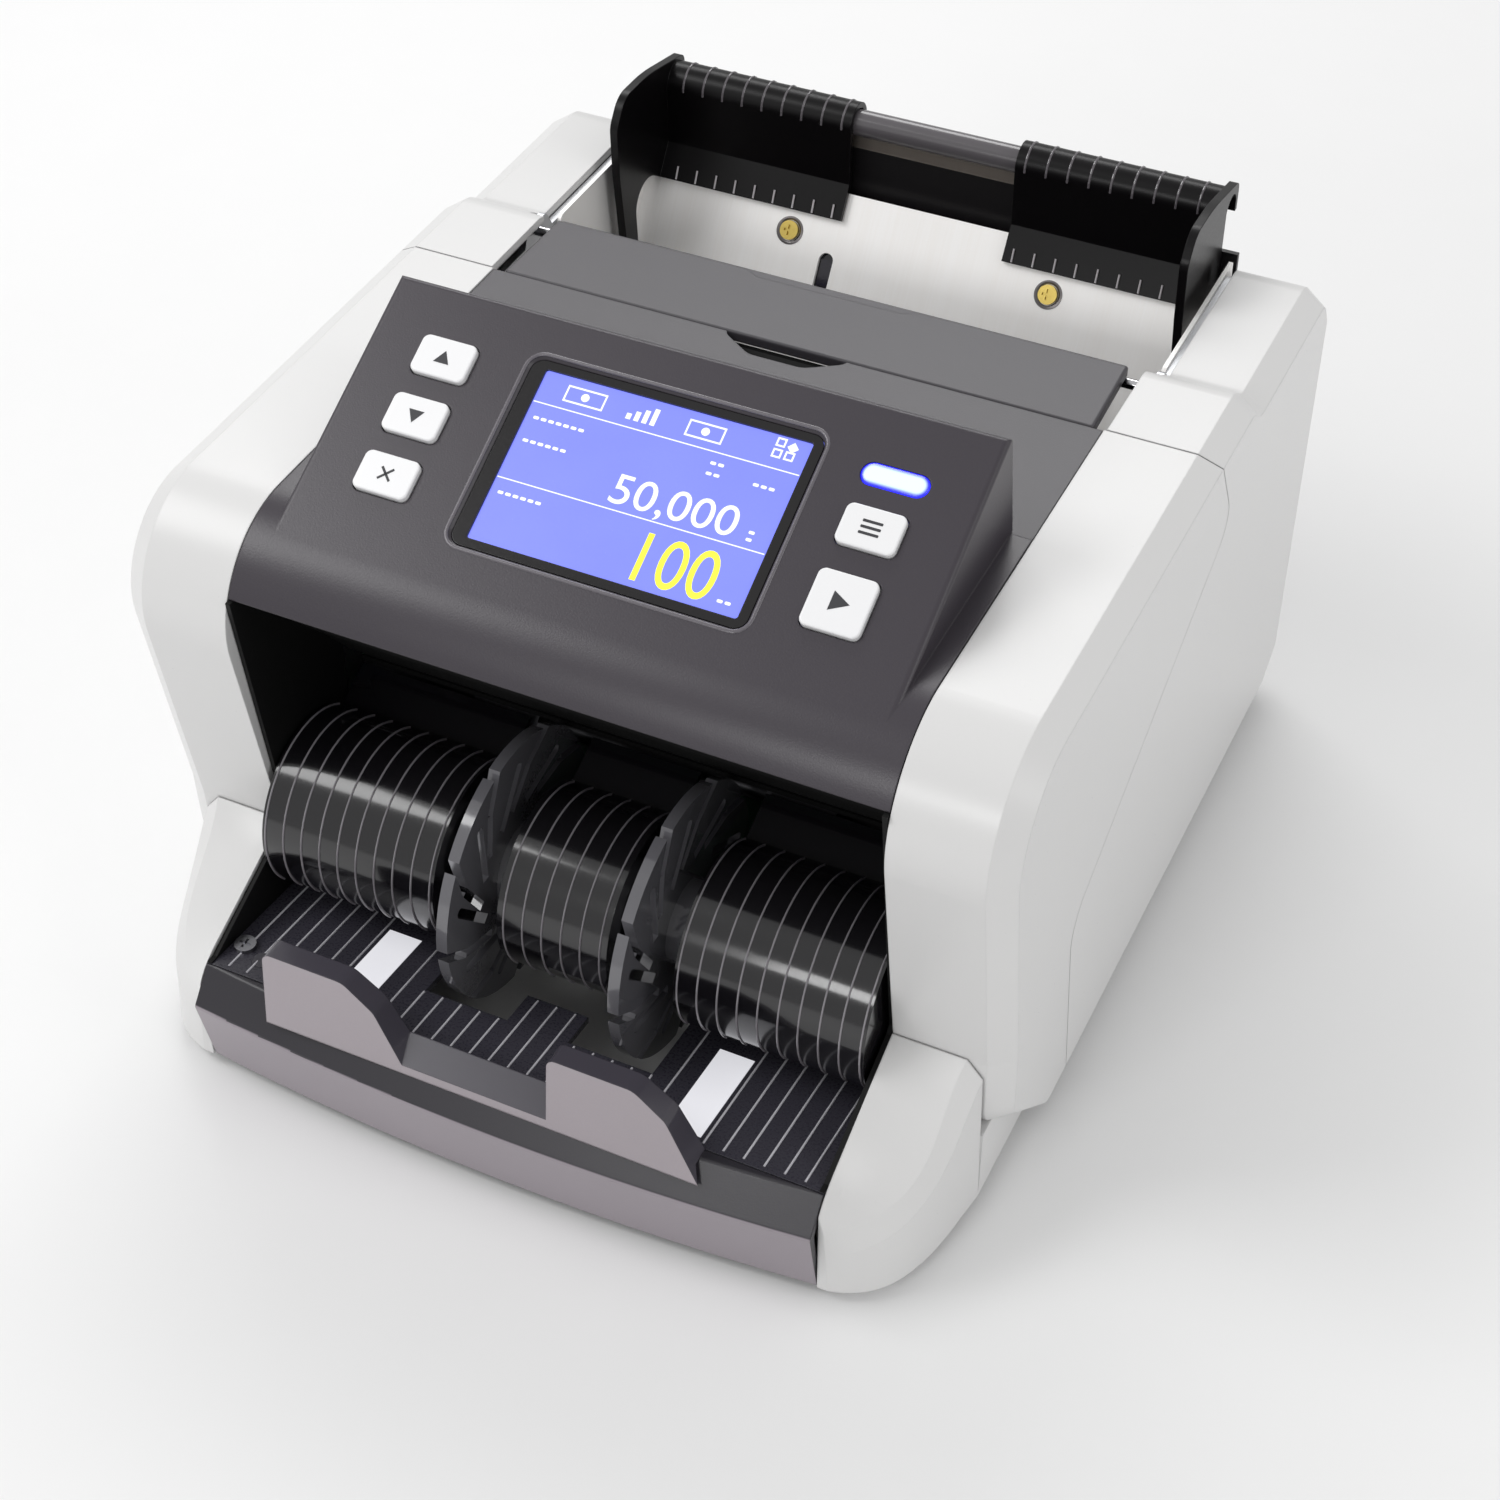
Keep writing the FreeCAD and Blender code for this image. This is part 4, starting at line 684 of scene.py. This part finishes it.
def ring_lathe(bm, centre, axis, profile, steps=40):
    """Ring swept round an axis from a closed profile of (radius, height) in mm."""
    side = axis.cross(X_AXIS).normalized()
    rows = []
    for k in range(steps):
        turn = 2 * math.pi * k / steps
        spoke = X_AXIS * math.cos(turn) + side * math.sin(turn)
        rows.append([bm.verts.new((centre + spoke * r + axis * h) * MM) for r, h in profile])
    bridge(bm, rows, closed=True)


PLATE_SLOPE = 55.6      # degrees
DIMPLE_RING_PROFILE = ((3.15, 0.0), (3.2, 0.35), (3.7, 0.5), (4.25, 0.45), (4.35, 0.0))
DIMPLE_RING_SINK = 1.25      # mm from the top of the screw's head to the foot of the dark dimple ring


def screw_rings():
    """Dark rim of the pressed dimple round each hopper screw, a ring painted dark as the dimple's
    shade.
    """
    points = [v.co / MM for v in NODES["hopper_screws"].data.vertices]
    tilt = math.radians(90 - PLATE_SLOPE)
    axis = Vector((0, -math.cos(tilt), math.sin(tilt)))
    front = max(p.dot(axis) for p in points)

    def build(bm):
        for sign in (-1, 1):
            group = [p for p in points if p.x * sign > 0 and p.dot(axis) > front - 1.0]
            low = Vector([min(p[i] for p in group) for i in range(3)])
            high = Vector([max(p[i] for p in group) for i in range(3)])
            centre = (low + high) / 2
            centre += axis * (front - centre.dot(axis) - DIMPLE_RING_SINK)
            ring_lathe(bm, centre, axis, DIMPLE_RING_PROFILE)

    return piece("hopper_screw_dimple_shade", mesh_from(build), DIMPLE_SHADE, "root")


SCOOP_HALF, SCOOP_R, SCOOP_DEEP, SCOOP_DROP, SCOOP_T = 17.5, 4.6, 2.2, 3.4, 0.8     # mm


def finger_recess_shade():
    """Black trough under the finger recess in front of the flap, a dark piece that paints the shade
    inside the recess.
    """
    recess = corners_of("top_frame")[1]
    flap = corners_of("feed_flap")[0]

    def build(bm):
        rows = []
        for k in range(9):
            turn = math.pi * k / 8
            y = flap.y - SCOOP_R - SCOOP_R * math.cos(turn)
            z = recess.z - SCOOP_DROP - SCOOP_DEEP * math.sin(turn)
            rows.append([bm.verts.new((x * MM, y * MM, (z - drop) * MM))
                         for x, drop in ((-SCOOP_HALF, 0.0), (SCOOP_HALF, 0.0),
                                         (SCOOP_HALF, SCOOP_T), (-SCOOP_HALF, SCOOP_T))])
        bridge(bm, rows)

    return piece("finger_recess_shade", mesh_from(build), NYLON, "root")


# ---------------------------------------------------------------- stage
CAMERA_SPOT = Vector((257.7, -526.8, 576.5))
CAMERA_TURN, CAMERA_LIFT, CAMERA_ROLL = 26.18, 41.35, -0.61     # degrees
LENS_MM = 66.57
SHIFT = (0.0150, -0.0421)
FLOOR_HALF = 6.0        # metres
WORLD_STRENGTH = 0.58
# name, place, aim and size in metres, power in watts
LIGHTS = (("key_light", (-0.95, -0.45, 1.25), (0, -0.02, 0.10), (0.8, 0.6), 8),
          ("right_light", (1.3, -0.15, 0.75), (0, 0, 0.1), (0.8, 0.5), 3),
          ("rear_light", (-0.45, 0.95, 1.1), (0, 0, 0.1), (1.0, 0.4), 6),
          ("front_light", (-0.15, -1.2, 0.75), (0, -0.05, 0.06), (0.35, 0.25), 2.2))


def camera():
    """The viewing camera, from its place and its three angles."""
    turn, lift, roll = (math.radians(a) for a in (CAMERA_TURN, CAMERA_LIFT, CAMERA_ROLL))
    back = Vector((math.sin(turn) * math.cos(lift), -math.cos(turn) * math.cos(lift),
                   math.sin(lift)))
    right = Vector((0, 0, 1)).cross(back).normalized()
    up = back.cross(right)
    right_rolled = right * math.cos(roll) + up * math.sin(roll)
    up_rolled = up * math.cos(roll) - right * math.sin(roll)
    data = bpy.data.cameras.new("camera")
    data.sensor_width = 36.0
    data.lens = LENS_MM
    data.shift_x, data.shift_y = SHIFT
    data.clip_start, data.clip_end = 0.01, 20.0
    eye = bpy.data.objects.new("camera", data)
    bpy.context.scene.collection.objects.link(eye)
    eye.matrix_world = Matrix.Translation(CAMERA_SPOT * MM) @ Matrix(
        (right_rolled, up_rolled, back)).transposed().to_4x4()
    bpy.context.scene.camera = eye


def area_light(name, spot, aim, size, power):
    data = bpy.data.lights.new(name, "AREA")
    data.shape = "RECTANGLE"
    data.size, data.size_y = size
    data.energy = power
    lamp = bpy.data.objects.new(name, data)
    bpy.context.scene.collection.objects.link(lamp)
    heading = (Vector(aim) - Vector(spot)).to_track_quat("-Z", "Y")
    lamp.matrix_world = Matrix.Translation(spot) @ heading.to_matrix().to_4x4()


def studio():
    """Pale floor, white surroundings and four soft lights."""
    def build(bm):
        for x, y in ((-1, -1), (1, -1), (1, 1), (-1, 1)):
            bm.verts.new((x * FLOOR_HALF, y * FLOOR_HALF, 0))
        bm.faces.new(bm.verts)

    floor = bpy.data.objects.new("studio_floor", mesh_from(build))
    bpy.context.scene.collection.objects.link(floor)
    floor.data.materials.append(surface("studio_floor", (0.86, 0.86, 0.86), 0.6, tint=0.01,
                                        grain=40, bump=0.0))
    world = bpy.data.worlds.new("studio_world")
    world.use_nodes = True
    sky = world.node_tree.nodes["Background"]
    sky.inputs["Color"].default_value = (1, 1, 1, 1)
    sky.inputs["Strength"].default_value = WORLD_STRENGTH
    bpy.context.scene.world = world
    for light in LIGHTS:
        area_light(*light)
    bpy.context.scene.view_settings.view_transform = "Standard"


finish_nodes()
display()
display_bead()
key_marks()
status_light()
floor_ribs()
drum_ribs()
guide_ribs("left")
guide_ribs("right")
screw_rings()
finger_recess_shade()
camera()
studio()

bpy.context.view_layer.update()
